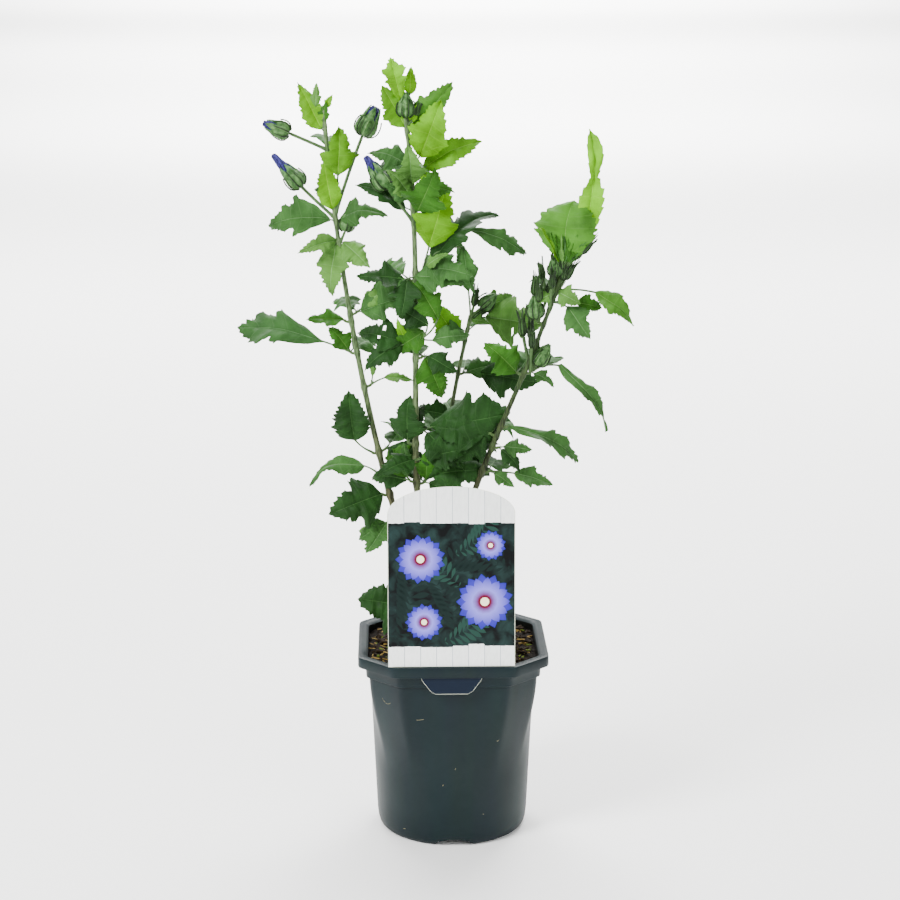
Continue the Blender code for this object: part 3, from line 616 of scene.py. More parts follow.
ASTER_PETALS = 13
under_petals = []
over_petals = []
hearts = bmesh.new()
for x, y, radius in ASTERS:
    for i in range(ASTER_PETALS):
        turn = 2 * math.pi * i / ASTER_PETALS
        offset = math.pi / ASTER_PETALS
        layers = ((under_petals, turn + offset, 0.92, 0.40), (over_petals, turn, 0.80, 0.34))
        for heap, start, length, width in layers:
            heap.append(petal((x, y, 0), start, radius * 0.12, radius * length, radius * width, 0.02 * i))
    bmesh.ops.create_circle(hearts, cap_ends=True, segments=24, radius=radius * 0.16,
                            matrix=Matrix.Translation((x, y, 0)))
print_of("print_petals_under", 5, under_petals, petal_ink("deep_blue_petal_ink", "4a0836", "3e34ac", "241e90"))
print_of("print_petals_over", 6, over_petals, petal_ink("pale_blue_petal_ink", "60021f", "7e77da", "362ea8"))
printed("print_hearts", hearts, Paint("cream_ink", 0.3, colour="fbf3cc"), 8)


# ---------------------------------------------------------------- trunk
# The old wood of a cutting two or three years old: a short stump that flares into the soil and was
# cut back hard, so that its head is knobbly; grey-brown bark with shallow upright cracks.
TRUNK_FOOT = Vector((-14, 0, SOIL_TOP - 3))
TRUNK_TOP = Vector((-13, 0.5, 190))
TRUNK_STEPS = 36
TRUNK_SIDES = 48
TRUNK_PROFILE = ((0, 15.0), (0.12, 13.5), (0.3, 10.8), (0.5, 9.8), (0.7, 9.7), (0.86, 10.9), (0.95, 11.6), (1, 11.2))


def bearing(turn, rise):
    """The direction with a compass turn and a rise."""
    flat = math.cos(math.radians(rise))
    return Vector((flat * math.cos(math.radians(turn)), flat * math.sin(math.radians(turn)),
                   math.sin(math.radians(rise))))


def rings_along(points, radii, sides, relief=None):
    """Round sections square to a path, carried along it without twisting; relief(point) swells them."""
    rings = []
    direction = (points[1] - points[0]).normalized()
    first = direction.orthogonal().normalized()
    for i, (point, radius) in enumerate(zip(points, radii)):
        ahead = points[min(i + 1, len(points) - 1)]
        behind = points[max(i - 1, 0)]
        direction = (ahead - behind).normalized()
        first = (first - direction * first.dot(direction)).normalized()
        second = direction.cross(first)
        ring = []
        for side in range(sides):
            angle = 2 * math.pi * side / sides
            out = first * math.cos(angle) + second * math.sin(angle)
            reach = radius * (1 + relief(point + out * radius)) if relief else radius
            ring.append(point + out * reach)
        rings.append(ring)
    return rings


def curve_through(pairs, count):
    """Even steps through (share, value) pairs, smoothed between them."""
    values = []
    for i in range(count):
        share = i / (count - 1)
        for (a, low), (b, high) in zip(pairs, pairs[1:]):
            if share <= b:
                t = (share - a) / (b - a)
                t = t * t * (3 - 2 * t)
                values.append(low + (high - low) * t)
                break
    return values


def old_relief(point):
    cracks = noise.fractal(Vector((point.x / 2.2, point.y / 2.2, point.z / 9)), 1.0, 2.0, 4)
    knobs = noise.noise(point / 6)
    return 0.10 * cracks + 0.12 * knobs


path = [TRUNK_FOOT.lerp(TRUNK_TOP, i / (TRUNK_STEPS - 1)) for i in range(TRUNK_STEPS)]
radii = curve_through(TRUNK_PROFILE, TRUNK_STEPS)
path += [path[-1] + Vector((0, 0, 1.2)), path[-1] + Vector((0, 0, 1.9))]
radii += [radii[-1] * 0.8, radii[-1] * 0.35]
old_bark = grained("grey_brown_bark", 0.85, 0.5, 420, 7, ((0.36, "3a3426"), (0.68, "8a8263")), (0.8, 0.0008),
                   stretch=(1, 1, 0.25))
stump = skinned(rings_along(path, radii, TRUNK_SIDES, old_relief))
piece("trunk", stump, [old_bark], ["trunk"], sharp=180)


# ---------------------------------------------------------------- stems
# Upright young shoots that grow out of the stump's head: round, with a swelling at each node; the bark
# is rough and olive-brown below and turns smooth and grey-green above.
Stem = namedtuple("Stem", "foot low high tip foot_radius tip_radius crown_from")
STEMS = {
    "left": Stem((-20, 4, 190), (-70, 8, 330), (-101, 22, 500), (-113, 34, 650), 3.2, 1.6, 526),
    "centre": Stem((-14, -5, 190), (-48, -9, 300), (-20, -9, 480), (-40, -7, 647), 3.3, 1.9, 546),
    "thin": Stem((-8, 6, 190), (-16, 18, 300), (-6, 38, 366), (17, 50, 464), 1.6, 1.0, 440),
    "right": Stem((-6, -4, 190), (-2, -14, 310), (64, -26, 402), (99, -34, 531), 3.1, 1.6, 482),
}
STEM_STRIDE = 22
STEM_SIDES = 18
STEM_UPRIGHT = 5
BARK_STEP = 2.2  # distance between the bark mesh's rings
NODE_LENGTH = 3.2
NODE_SWELL = 0.34
THIN_BARK = 1.6  # how much the thin shoot's bark stands out round its wood
OLD_BARK_TOP = 360  # the bark is rough below this height, and smooth a little above it
BARK_FADE = 60


def stem_path(stem):
    """Points along a stem's centre line, and its radius at each."""
    count = 2 + round((stem.tip[2] - stem.foot[2]) / STEM_STRIDE)
    handles = [Vector(point) for point in (stem.foot, stem.low, stem.high, stem.tip)]
    points = interpolate_bezier(*handles, count)
    taper = (stem.tip_radius - stem.foot_radius) / (count - 1)
    radii = [stem.foot_radius + taper * i for i in range(count)]
    points.insert(1, points[0] + Vector((0, 0, STEM_UPRIGHT)))
    radii.insert(1, stem.foot_radius)
    return points, radii


def on_stem(stem, height):
    """The stem's centre, radius and direction at a height."""
    points, radii = stem_path(stem)
    for i in range(len(points) - 1):
        low, high = points[i], points[i + 1]
        if height <= high.z or i == len(points) - 2:
            share = (height - low.z) / (high.z - low.z)
            radius = radii[i] + (radii[i + 1] - radii[i]) * share
            return low.lerp(high, share), radius, (high - low).normalized()


# What grows where, row by row: a leaf's tint, or "bud"; its height on the crown's own stem, which the
# rows of a side spray leave out; the stalk's turn, rise and length; the blade's length, aim and tilt (0
# looks at the sky, 90 to the front); then how broad it is, its fold along the midrib and its sag from
# root to tip; the form, where it isn't its tint's; and what insects ate, as places across and along the
# blade. A bud's row ends with its length, its aim and how far its petals show.
Leaf = namedtuple("Leaf", "tint at turn rise stalk blade aim tilt broad fold sag form holes",
                  defaults=(1.0, 18, 24, "", ()))
Bud = namedtuple("Bud", "at turn rise stalk size aim petals", defaults=(0,))
Spray = namedtuple("Spray", "name stem height turn reach rows back", defaults=(0,))

CROWNS = {
    "left": (
        ("lime", 629, 172, 50, 6, 46, 60, 80, 0.84),
        ("strong", 636, 190, 60, 4, 19, 98, 80, 0.9),
        ("light", 643, 180, 40, 13, 21, 94, 80, 0.75),
        ("lime", 648, 5, 60, 5, 13, 62, 80),
        ("young", 556, -10, 85, 38, 43, 88, 85, 1.25, 18, 24, "lobed"),
        ("lime", 557, 200, 70, 8, 43, 79, 85, 0.9),
        ("mid", 553, 172, 12, 6, 58, -3, 58, 1.15, 26, 60, "lobed"),
        ("mid", 553, -15, 20, 4, 42, 14, 40, 1.0, 30, 50),
        ("light", 534, 200, 30, 3, 36, -14, 55, 0.9, 40, 70),
        ("light", 534, 222, -10, 4, 47, -80, 70, 1.1),
        ("light", 534, -25, 10, 5, 34, -38, 62, 1.3),
        ("bud", 615, 180, 24, 37, 21, 22, 4),
        ("bud", 555, 184, 42, 42, 23, 49, 15),
        ("bud", 557, 2, 73, 76, 26, 64, 2),
        ("bud", 532, 0, 62, 14, 17, 78),
    ),
    "centre": (
        ("pale", 645, 200, 75, 17, 38, 76, 85, 1.3, 34, 60, "wedge"),
        ("lime", 645, 20, 80, 22, 24, 84, 85, 0.9),
        ("young", 636, 188, 60, 4, 40, 62, 75, 1.1),
        ("lime", 640, -12, 55, 4, 18, 60, 60),
        ("fresh", 634, 8, 40, 8, 51, 46, 70, 0.9),
        ("lime", 605, -12, 40, 13, 52, 66, 82, 1.15),
        ("young", 597, 10, 30, 14, 56, 28, 52, 0.8),
        ("lime", 599, -24, 20, 14, 30, -58, 65, 1.15),
        ("mid", 605, 172, 26, 4, 36, 24, 55, 1.1),
        ("mid", 606, 190, 5, 4, 24, -6, 55, 1.1),
        ("light", 586, -100, 50, 5, 36, 72, 85, 1.15),
        ("mid", 575, 205, 30, 5, 27, 30, 60, 1.1),
        ("dark", 566, 170, 20, 8, 50, 26, 30, 0.8, 35),
        ("strong", 560, -62, 40, 10, 48, 45, 70, 1.25),
        ("strong", 583, -35, 20, 6, 36, 8, 65, 1.1),
        ("light", 578, 215, 30, 4, 32, 50, 70, 1.15),
        ("strong", 570, 30, 20, 5, 34, -20, 60, 1.2),
        ("bud", 556, 178, 52, 38, 24, 55, 10),
        ("bud", 646, -80, 78, 2, 20, 86),
        ("bud", 638, -10, 50, 14, 9, 70),
    ),
    "thin": (
        ("light", 461, 5, 8, 15, 54, -8, 72, 1.35, 20, 40, "lobed", ((0.65, 0.45),)),
        ("light", 460, -30, 10, 3, 18, 0, 50),
        ("light", 462, 20, 40, 14, 34, 18, 70, 1.1),
        ("mid", 463, 150, 86, 24, 48, 80, 80, 0.85, 40),
        ("mid", 450, 205, 10, 4, 28, 0, 50),
        ("young", 441, 178, 15, 9, 40, 55, 80, 1.1),
        ("bud", 463, 0, 40, 13, 18, 42),
        ("bud", 463, -30, 70, 12, 14, 80),
        ("bud", 458, 8, 30, 5, 12, 40),
    ),
    "right": (
        ("pale", 527, 10, 30, 26, 94, 87, 82, 0.8, 34, 24, "strap"),
        ("fresh", 522, 190, 80, 3, 54, 94, 82, 1.6, 22, 50, "fan"),
        ("fresh", 500, 3, 8, 36, 46, -38, 55, 0.85),
        ("light", 499, -40, 5, 4, 25, -20, 78, 1.3),
        ("light", 497, 190, 10, 4, 16, -30, 70, 1.3),
        ("mid", 490, -12, -5, 15, 35, -52, 75, 1.2),
        ("strong", 490, 5, 0, 22, 24, -12, 60, 1.2),
        ("bud", 508, 176, 65, 6, 17, 82),
        ("bud", 516, -80, 70, 3, 16, 84),
        ("bud", 522, 5, 60, 9, 15, 70),
        ("bud", 505, -14, 50, 7, 14, 78),
        ("bud", 514, 175, 75, 9, 13, 95),
        ("bud", 524, 178, 70, 6, 12, 112),
        ("bud", 526, -60, 75, 8, 12, 92),
        ("bud", 527, 0, 60, 10, 12, 62),
        ("bud", 527, 200, 80, 5, 11, 100),
        ("bud", 528, -20, 50, 6, 12, 48),
        ("bud", 500, 190, 70, 10, 11, 88),
        ("bud", 484, -80, 68, 22, 13, 72),
        ("bud", 486, 150, 70, 26, 12, 80),
        ("bud", 492, 0, 58, 22, 14, 62),
        ("bud", 494, -90, 76, 20, 14, 96),
        ("bud", 518, -10, 42, 16, 15, 56),
        ("bud", 522, 10, 30, 20, 14, 50),
        ("bud", 512, 182, 52, 10, 14, 104),
    ),
}
CROWN_BACK = {"left": 2, "centre": 3, "thin": 1, "right": 2}
# Narrow leaves that stand in a bunch at the right stem's tip: tint, height, turn, stalk, blade, aim, broad.
TUFT_ROWS = (
    ("young", 522, -150, 4, 38, 60, 0.62),
    ("strong", 523, -135, 5, 30, 63, 0.55),
    ("strong", 522, -120, 6, 26, 68, 0.55),
    ("light", 521, -105, 7, 25, 76, 0.6),
    ("mid", 522, -85, 7, 24, 80, 0.6),
    ("strong", 522, -70, 6, 27, 72, 0.6),
    ("strong", 521, -50, 7, 28, 62, 0.55),
    ("mid", 520, -35, 8, 30, 55, 0.5),
    ("strong", 520, -20, 9, 30, 50, 0.5),
)
TUFT = [Leaf(tint, at, turn, 30, stalk, length, aim, 60, broad, 40, 8, "strap")
        for tint, at, turn, stalk, length, aim, broad in TUFT_ROWS]

SPRAYS = (
    Spray("spray_left_upper_outer", "left", 464, 180, 4, (("strong", 182, 5, 2, 33, 0, 50, 1.2, 34),)),
    Spray("spray_left_upper_inner", "left", 470, -15, 4, (
        ("mid", -18, 14, 5, 55, 16, 50, 1.2, 34),
        ("light", -10, 40, 8, 30, 40, 65, 0.9),
    ), 1),
    Spray("spray_left_middle_outer", "left", 436, 178, 4, (
        ("blue", 178, 24, 27, 77, 11, 55, 1.1, 12, 30),
        ("strong", 168, 50, 3, 27, 52, 60, 1.2),
    ), 1),
    Spray("spray_left_middle_inner", "left", 405, 5, 4, (
        ("light", 5, 35, 14, 27, -4, 55, 0.9, 40),
        ("light", 20, 80, 8, 18, 84, 70, 0.5),
    )),
    Spray("spray_left_lower_outer", "left", 346, 182, 4, (
        ("dark", 182, 22, 20, 46, 82, 85, 1.5, 30, 60, "ovate"),
    )),
    Spray("spray_left_lower_inner", "left", 347, 0, 4, (
        ("dark", -12, 30, 3, 46, -26, 62, 1.1, 18, 50),
        ("strong", -40, -10, 4, 34, -24, 66, 1.3),
    ), 1),
    Spray("spray_left_base_outer", "left", 327, 176, 4, (
        ("mid", 176, 40, 14, 54, -10, 42, 0.55, 18, 60, "ovate"),
    )),
    Spray("spray_left_base_front", "left", 308, 200, 4, (("dark", 204, 0, 1, 52, -14, 62, 1.4),)),
    Spray("spray_left_foot_outer", "left", 283, 190, 4, (
        ("mid", 192, -10, 5, 29, -28, 65, 1.3),
        ("mid", 215, 0, 3, 34, -48, 68, 1.2),
    )),
    Spray("spray_left_foot_back", "left", 262, 120, 4, (("light", 150, 10, 26, 22, 5, 40),), 1),
    Spray("spray_centre_upper_right", "centre", 512, 5, 5, (
        ("dark", 4, 42, 7, 74, 45, 50, 1.05, 26),
        ("mid", 14, 64, 54, 64, -22, 40, 0.6, 18, 60),
        ("mid", 0, 66, 50, 44, -80, 80, 0.8, 40),
        ("lime", -14, 76, 22, 56, 72, 85, 1.1, 18, 24, "lobed"),
        ("mid", -38, 15, 8, 42, 2, 55, 1.2),
        ("light", -50, 40, 6, 30, 30, 65, 0.6),
    ), 1),
    Spray("spray_centre_upper_left", "centre", 505, 195, 4, (
        ("mid", 190, 5, 3, 22, -8, 50),
        ("dark", 188, -10, 4, 42, 6, 45),
        ("mid", -18, 30, 7, 46, -2, 60, 0.9),
        ("dark", 250, 10, 4, 34, -72, 75, 1.3),
    ), 1),
    Spray("spray_centre_middle_left", "centre", 447, 185, 5, (
        ("lime", 200, 50, 4, 22, 66, 70, 0.7),
        ("dark", 172, 12, 6, 42, 12, 50, 1.15, 18, 24, "", ((0.35, 0.5), (0.65, 0.42))),
        ("dark", 192, -5, 6, 40, -24, 58, 1.15),
    )),
    Spray("spray_centre_middle_front", "centre", 452, -60, 5, (
        ("dark", -20, 30, 18, 38, 156, 70, 1.0),
        ("strong", -24, 10, 12, 36, 214, 75, 1.25),
        ("strong", -15, 25, 28, 43, 122, 78, 0.95),
        ("mid", 0, -10, 12, 34, 10, 55, 0.9, 18, 60),
    ), 1),
    Spray("spray_centre_middle_right", "centre", 436, -10, 4, (
        ("strong", -14, -10, 3, 40, -66, 75, 1.35),
        ("dark", -10, 20, 5, 30, -30, 62, 1.2),
    ), 1),
    Spray("spray_centre_lower_left", "centre", 358, 185, 4, (
        ("dark", 150, 60, 3, 40, 92, 82, 1.35),
        ("deep", 20, 60, 3, 34, 70, 75, 1.0),
    ), 1),
    Spray("spray_centre_lower_right", "centre", 369, -8, 4, (
        ("dark", -8, 30, 8, 72, 12, 72, 1.35, 14, 36),
        ("dark", -20, -20, 5, 46, -42, 68, 1.3),
        ("light", 10, -30, 5, 30, -58, -60, 1.2),
    ), 1),
    Spray("spray_centre_lower_front", "centre", 344, -75, 4, (
        ("dark", -20, 15, 10, 40, 18, 65, 1.2),
        ("dark", -140, 10, 6, 38, -8, 60, 1.1),
    )),
    Spray("spray_centre_base_left", "centre", 324, 200, 4, (
        ("mid", 200, 60, 5, 30, 84, 85, 0.9),
        ("strong", 160, 40, 5, 26, 60, 70, 1.2),
        ("dark", 165, 10, 4, 34, 6, 60, 1.2),
    ), 1),
    Spray("spray_centre_base_right", "centre", 322, -20, 4, (
        ("dark", -34, 60, 5, 34, 58, 80),
        ("strong", -60, 50, 6, 30, 76, 80, 1.1),
        ("dark", -6, 45, 10, 54, 8, 50, 1.1, 18, 50),
        ("dark", -20, 0, 6, 44, -22, 60, 1.1),
    ), 1),
    Spray("spray_thin_middle", "thin", 412, 5, 3, (
        ("mid", 12, 22, 4, 32, 10, 55, 1.2),
        ("dark", -10, 0, 17, 52, -6, 62, 1.15),
    ), 1),
    Spray("spray_thin_lower", "thin", 372, 0, 3, (
        ("deep", 0, 8, 19, 38, -12, 60, 1.2),
        ("dark", -12, -20, 8, 42, -38, 65, 1.2),
        ("dark", 170, 20, 6, 34, 10, 62, 1.1),
    ), 1),
    Spray("spray_thin_base", "thin", 342, -60, 3, (
        ("dark", -10, 30, 6, 42, 12, 70, 1.2),
        ("deep", -120, 20, 5, 34, 20, 70, 1.1),
        ("mid", -60, 50, 5, 26, 70, 75, 1.0),
        ("dark", 0, -10, 8, 40, -16, 60, 1.1),
    ), 1),
    Spray("spray_thin_back", "thin", 330, 90, 3, (), 3),
    Spray("spray_right_upper_inner", "right", 470, 178, 3, (
        ("mid", 150, 50, 3, 17, 50, 60),
        ("bud", 182, 60, 4, 19, 84),
        ("bud", 170, 80, 24, 15, 92),
        ("bud", 0, 68, 26, 14, 74),
        ("bud", -80, 74, 20, 13, 84),
    )),
    Spray("spray_right_middle_outer", "right", 427, 2, 4, (
        ("bud", 0, 58, 9, 20, 56),
        ("bud", 10, 72, 16, 13, 84),
        ("bud", 178, 76, 34, 15, 84),
        ("bud", 90, 74, 30, 14, 80),
        ("bud", -90, 70, 26, 13, 74),
        ("mid", 4, 34, 28, 74, -54, 48, 0.6, 22, 60, "strap"),
        ("mid", -30, -15, 4, 22, -20, 50),
    ), 1),
    Spray("spray_right_middle_inner", "right", 424, 182, 3, (("strong", 182, 44, 1, 38, 46, 80, 1.35),), 1),
    Spray("spray_right_lower_outer", "right", 378, -4, 3, (("mid", -4, -6, 2, 70, -22, 48, 0.68, 24, 44),)),
    Spray("spray_right_lower_front", "right", 359, -20, 3, (
        ("mid", -5, 10, 5, 26, -6, 55, 1.1),
        ("dark", -20, -30, 4, 26, -40, 60, 1.1),
    )),
    Spray("spray_right_lower_inner", "right", 368, 178, 3, (
        ("dark", 176, 20, 5, 48, 6, 66, 1.4),
        ("dark", 190, -20, 5, 38, -36, 66, 1.3),
    ), 1),
    Spray("spray_right_base_outer", "right", 336, 0, 3, (
        ("mid", 0, 0, 24, 36, -18, 45, 0.95),
        ("mid", -14, -10, 6, 22, -34, 60, 1.0),
    ), 1),
    Spray("spray_right_foot_front", "right", 262, -30, 3, (("mid", -40, 20, 8, 40, 10, 60),)),
    Spray("spray_trunk_foot", "left", 196, 170, 5, (
        ("dark", 184, 50, 12, 50, 12, 80, 1.7),
        ("light", 175, 20, 10, 20, -6, 60, 1.2),
    ), 1),
)

# Leaves on the side away from the label are dealt out by a rule that the mass's name seeds.
BACK_FROM_FOOT = 12
BACK_FROM_TIP = 30
BACK_TURN = (55, 125)
BACK_RISE = (8, 28)
BACK_STALK = (6, 13)
BACK_BLADE = (38, 48)
BACK_AIM = (-6, 18)
BACK_TILT = (15, 30)
BACK_TINTS = ("mid", "strong", "dark")


def back_leaves(name, count, low, high):
    dice = random.Random(name)
    ranges = ((low, high), BACK_TURN, BACK_RISE, BACK_STALK, BACK_BLADE, BACK_AIM, BACK_TILT)
    return [Leaf(BACK_TINTS[i % len(BACK_TINTS)], *[dice.uniform(*limits) for limits in ranges])
            for i in range(count)]


def stem_nodes(name):
    """Heights on a stem where leaves, buds and side sprays stand."""
    heights = {row[1] for row in CROWNS[name]}
    return sorted(heights | {spray.height for spray in SPRAYS if spray.stem == name})


def stem_rings(name):
    """The bark's rings along a stem, with a swelling at each node."""
    stem = STEMS[name]
    handles = [Vector(point) for point in (stem.foot, stem.low, stem.high, stem.tip)]
    count = round((stem.tip[2] - stem.foot[2]) / BARK_STEP)
    path = interpolate_bezier(*handles, count)
    nodes = stem_nodes(name)
    radii = []
    for i, point in enumerate(path):
        radius = stem.foot_radius + (stem.tip_radius - stem.foot_radius) * i / (count - 1)
        radius *= THIN_BARK if name == "thin" else 1.0
        bulge = max(math.exp(-((point.z - height) / NODE_LENGTH) ** 2) for height in nodes)
        radii.append(radius * (1 + NODE_SWELL * bulge))
    path = [path[0] + Vector((0, 0, -3))] + path + [path[-1] + (path[-1] - path[-2]) * 0.5]
    radii = [radii[0] * 1.15] + radii + [radii[-1] * 0.4]

    def relief(point):
        old = min(1.0, max(0.15, (OLD_BARK_TOP - point.z) / BARK_FADE))
        grooves = noise.fractal(Vector((point.x / 1.1, point.y / 1.1, point.z / 6)), 1.0, 2.0, 3)
        warts = max(0.0, noise.noise(point / 1.6) - 0.25)
        return old * (0.09 * grooves + 0.30 * warts) + 0.03 * noise.noise(point / 5)

    return rings_along(path, radii, STEM_SIDES, relief)


def stem_surface(name, old, young):
    """Bark that turns from brown and cracked to smooth and green between two heights; each has two tones."""
    paint = Paint(name, 0.65, 0.2)
    height = paint.add("SeparateXYZ", {"Vector": paint.spot()}, "Z")
    age = paint.limits(paint.maths("MULTIPLY_ADD", paint.noise(60, 3), 0.16, height), 0.36, 0.52)
    streak = paint.noise(600, 5, stretch=(1, 1, 0.18))
    old_tone, young_tone = (paint.ramp(streak, (0.35, dark), (0.65, pale)) for dark, pale in (old, young))
    paint.plug(Base_Color=paint.mix(age, old_tone, young_tone), Normal=paint.bump(streak, 0.35, 0.0003))
    return paint


green_stem = stem_surface("grey_green_bark", ("211f12", "504d34"), ("2a3d20", "5f774c"))
dark_stem = stem_surface("dark_thin_bark", ("15140a", "35331d"), ("17260f", "364c25"))
for name in STEMS:
    bark = dark_stem if name == "right" else green_stem
    piece(f"stem_{name}", skinned(stem_rings(name)), [bark], [f"stem_{name}"], sharp=180)


# ---------------------------------------------------------------- leaf stalks and side twigs
# Each leaf hangs on a thin round stalk, widened where it joins the twig, with a pair of bristle-like
# stipules at its foot; side twigs are short green spurs that leave the stem squarely.
GAP_TO_STEM = 0.3
SPUR_NECK = 2.0
SPUR_RISE = 45
SPUR_ROOTS = 0.6
SPUR_RADIUS = 1.25
STALK_RADIUS = 0.78
BUD_STALK_RADIUS = 1.3
ROOT_SUNK = 2.0
SPUR_TAPER = (1.35, 1.3, 1.15, 1.02, 1.0, 1.0, 1.05, 0.9, 0.4)
STALK_STEP = 2.5
STALK_SEED = 5
BRISTLE_RADII = (0.34, 0.30, 0.24, 0.15, 0.05)


def stalk_path(root, turn, rise, length, aim, count):
    """A stalk that leaves at one angle and arrives at another, with its end point last."""
    leave = bearing(turn, rise)
    arrive = bearing(turn, 0.5 * (rise + aim))
    end = root + (leave + arrive) * (length / 2)
    return interpolate_bezier(root, root + leave * length / 3, end - arrive * length / 3, end, count)


def spur_line(spray):
    """A side twig's start in the stem's bark, its bend, its tip and the spot where its stalks are rooted."""
    centre, radius, along = on_stem(STEMS[spray.stem], spray.height)
    out = bearing(spray.turn, 0)
    out = (out - along * out.dot(along)).normalized()
    start = centre + out * (radius + GAP_TO_STEM)
    knee = start + out * SPUR_NECK
    tip = knee + bearing(spray.turn, SPUR_RISE) * spray.reach
    return centre, knee, tip, knee.lerp(tip, SPUR_ROOTS)


def growth(rows, *at):
    """Rows of a table as leaves and buds; at is their height, where the rows leave it out."""
    return [Bud(*at, *row[1:]) if row[0] == "bud" else Leaf(row[0], *at, *row[1:]) for row in rows]


def everything_that_grows():
    """Every leaf and bud of the plant with the place of its root, mass by mass."""
    grown = []
    for name, rows in CROWNS.items():
        stem = STEMS[name]
        low, high = stem.crown_from + BACK_FROM_FOOT, stem.tip[2] - BACK_FROM_TIP
        for part in growth(rows) + back_leaves(name, CROWN_BACK[name], low, high):
            grown.append((f"crown_{name}", part, on_stem(stem, min(part.at, stem.tip[2] - 1))[0]))
    for spray in SPRAYS:
        root = spur_line(spray)[3]
        for part in growth(spray.rows, 0) + back_leaves(spray.name, spray.back, 0, 0):
            grown.append((spray.name, part, root))
    for part in TUFT:
        grown.append(("crown_right", part, on_stem(STEMS["right"], part.at)[0]))
    return grown


GROWN = everything_that_grows()
MASSES = [f"crown_{name}" for name in CROWNS] + [spray.name for spray in SPRAYS]

stalks, twigs = bmesh.new(), bmesh.new()
dice = random.Random(STALK_SEED)
for spray in SPRAYS:
    centre, knee, tip, _ = spur_line(spray)
    path = interpolate_bezier(centre, knee, knee, tip, len(SPUR_TAPER))
    radii = [SPUR_RADIUS * share for share in SPUR_TAPER]
    merge(twigs, skinned(rings_along(path, radii, 9, lambda point: 0.10 * noise.noise(point / 1.3))))
for mass, part, root in GROWN:
    steps = max(6, round(part.stalk / STALK_STEP))
    path = stalk_path(root, part.turn, part.rise, part.stalk, part.aim, steps)
    sunk = bearing(part.turn, part.aim)
    if isinstance(part, Leaf):
        path.append(path[-1] + sunk * part.blade * 0.05)
    radius = STALK_RADIUS if isinstance(part, Leaf) else BUD_STALK_RADIUS
    radius *= 0.75 + 0.4 * min(1.0, part.stalk / 30)
    radii = [radius * (1.5 - 0.5 * min(1.0, i / 3)) for i in range(len(path))]
    radii[-1] *= 0.6
    merge(stalks, skinned(rings_along(path, radii, 7)))
    for side in (-1, 1):
        turn = part.turn + side * dice.uniform(30, 60)
        length = dice.uniform(3.5, 6.5)
        bristle = stalk_path(root, turn, part.rise + dice.uniform(0, 25), length, part.rise + 50,
                             len(BRISTLE_RADII))
        merge(stalks, skinned(rings_along(bristle, BRISTLE_RADII, 5)))


stalk_skin = grained("green_stalk_skin", 0.55, 0.2, 90, 3, ((0, "20361a"), (1, "4e6c3c")))
twig_skin = grained("green_twig_skin", 0.55, 0.2, 90, 3, ((0, "203014"), (1, "4c6636")))
piece("leaf_stalks", stalks, [stalk_skin], MASSES, sharp=180)
piece("side_twigs", twigs, [twig_skin], sharp=180)


# ---------------------------------------------------------------- leaves
# Thin lobed leaves with coarse teeth, a wedge-shaped foot and three main veins: glossy and dark when
# old, paler beneath, and soft lime green at the shoots' tips. Each is folded a little along its midrib.
LEAF_THICKNESS = 0.34
RIB_HALF = 0.42  # half width of the pale midrib near the stalk

# A leaf's points lie on crossing lines that run out from the midrib along the side veins. FEET is where
# each line leaves the midrib; a form gives, for the same lines, how far along the blade the line's end
# lies and how far out, all as shares of the blade's length.
FEET = (0, 0.06, 0.12, 0.18, 0.24, 0.30, 0.35, 0.39, 0.43, 0.47, 0.51, 0.55,
        0.59, 0.62, 0.65, 0.68, 0.72, 0.76, 0.80, 0.84, 0.88, 0.92, 0.96, 1.0)
OVATE = ((0, 0.02), (0.03, 0.09), (0.07, 0.155), (0.12, 0.205), (0.175, 0.24), (0.225, 0.252),
         (0.255, 0.243), (0.305, 0.268), (0.355, 0.272), (0.385, 0.255), (0.435, 0.265), (0.485, 0.258),
         (0.51, 0.236), (0.56, 0.238), (0.605, 0.222), (0.63, 0.196), (0.68, 0.188), (0.725, 0.168),
         (0.75, 0.14), (0.80, 0.126), (0.845, 0.10), (0.89, 0.07), (0.94, 0.042), (1.0, 0.003))
LOBED = ((0, 0.016), (0.05, 0.07), (0.11, 0.13), (0.17, 0.185), (0.23, 0.23), (0.29, 0.265),
         (0.35, 0.30), (0.42, 0.335), (0.475, 0.345), (0.50, 0.30), (0.50, 0.225), (0.515, 0.165),
         (0.56, 0.155), (0.60, 0.175), (0.645, 0.185), (0.68, 0.165), (0.71, 0.145), (0.75, 0.15),
         (0.79, 0.135), (0.825, 0.105), (0.865, 0.09), (0.905, 0.068), (0.95, 0.038), (1.0, 0.003))
WEDGE = ((0, 0.015), (0.09, 0.045), (0.17, 0.078), (0.25, 0.10), (0.33, 0.12), (0.41, 0.142),
         (0.47, 0.16), (0.52, 0.185), (0.56, 0.212), (0.595, 0.20), (0.605, 0.15), (0.64, 0.16),
         (0.685, 0.20), (0.735, 0.228), (0.785, 0.236), (0.825, 0.205), (0.842, 0.155), (0.836, 0.108),
         (0.87, 0.105), (0.905, 0.088), (0.925, 0.06), (0.95, 0.048), (0.975, 0.028), (1.0, 0.003))
FAN = ((0, 0.02), (0.05, 0.05), (0.10, 0.09), (0.16, 0.13), (0.22, 0.17), (0.28, 0.205),
       (0.34, 0.235), (0.39, 0.26), (0.44, 0.285), (0.49, 0.30), (0.54, 0.315), (0.59, 0.33),
       (0.64, 0.335), (0.68, 0.335), (0.72, 0.33), (0.76, 0.315), (0.80, 0.295), (0.835, 0.27),
       (0.87, 0.235), (0.90, 0.195), (0.93, 0.15), (0.955, 0.105), (0.98, 0.055), (1.0, 0.003))
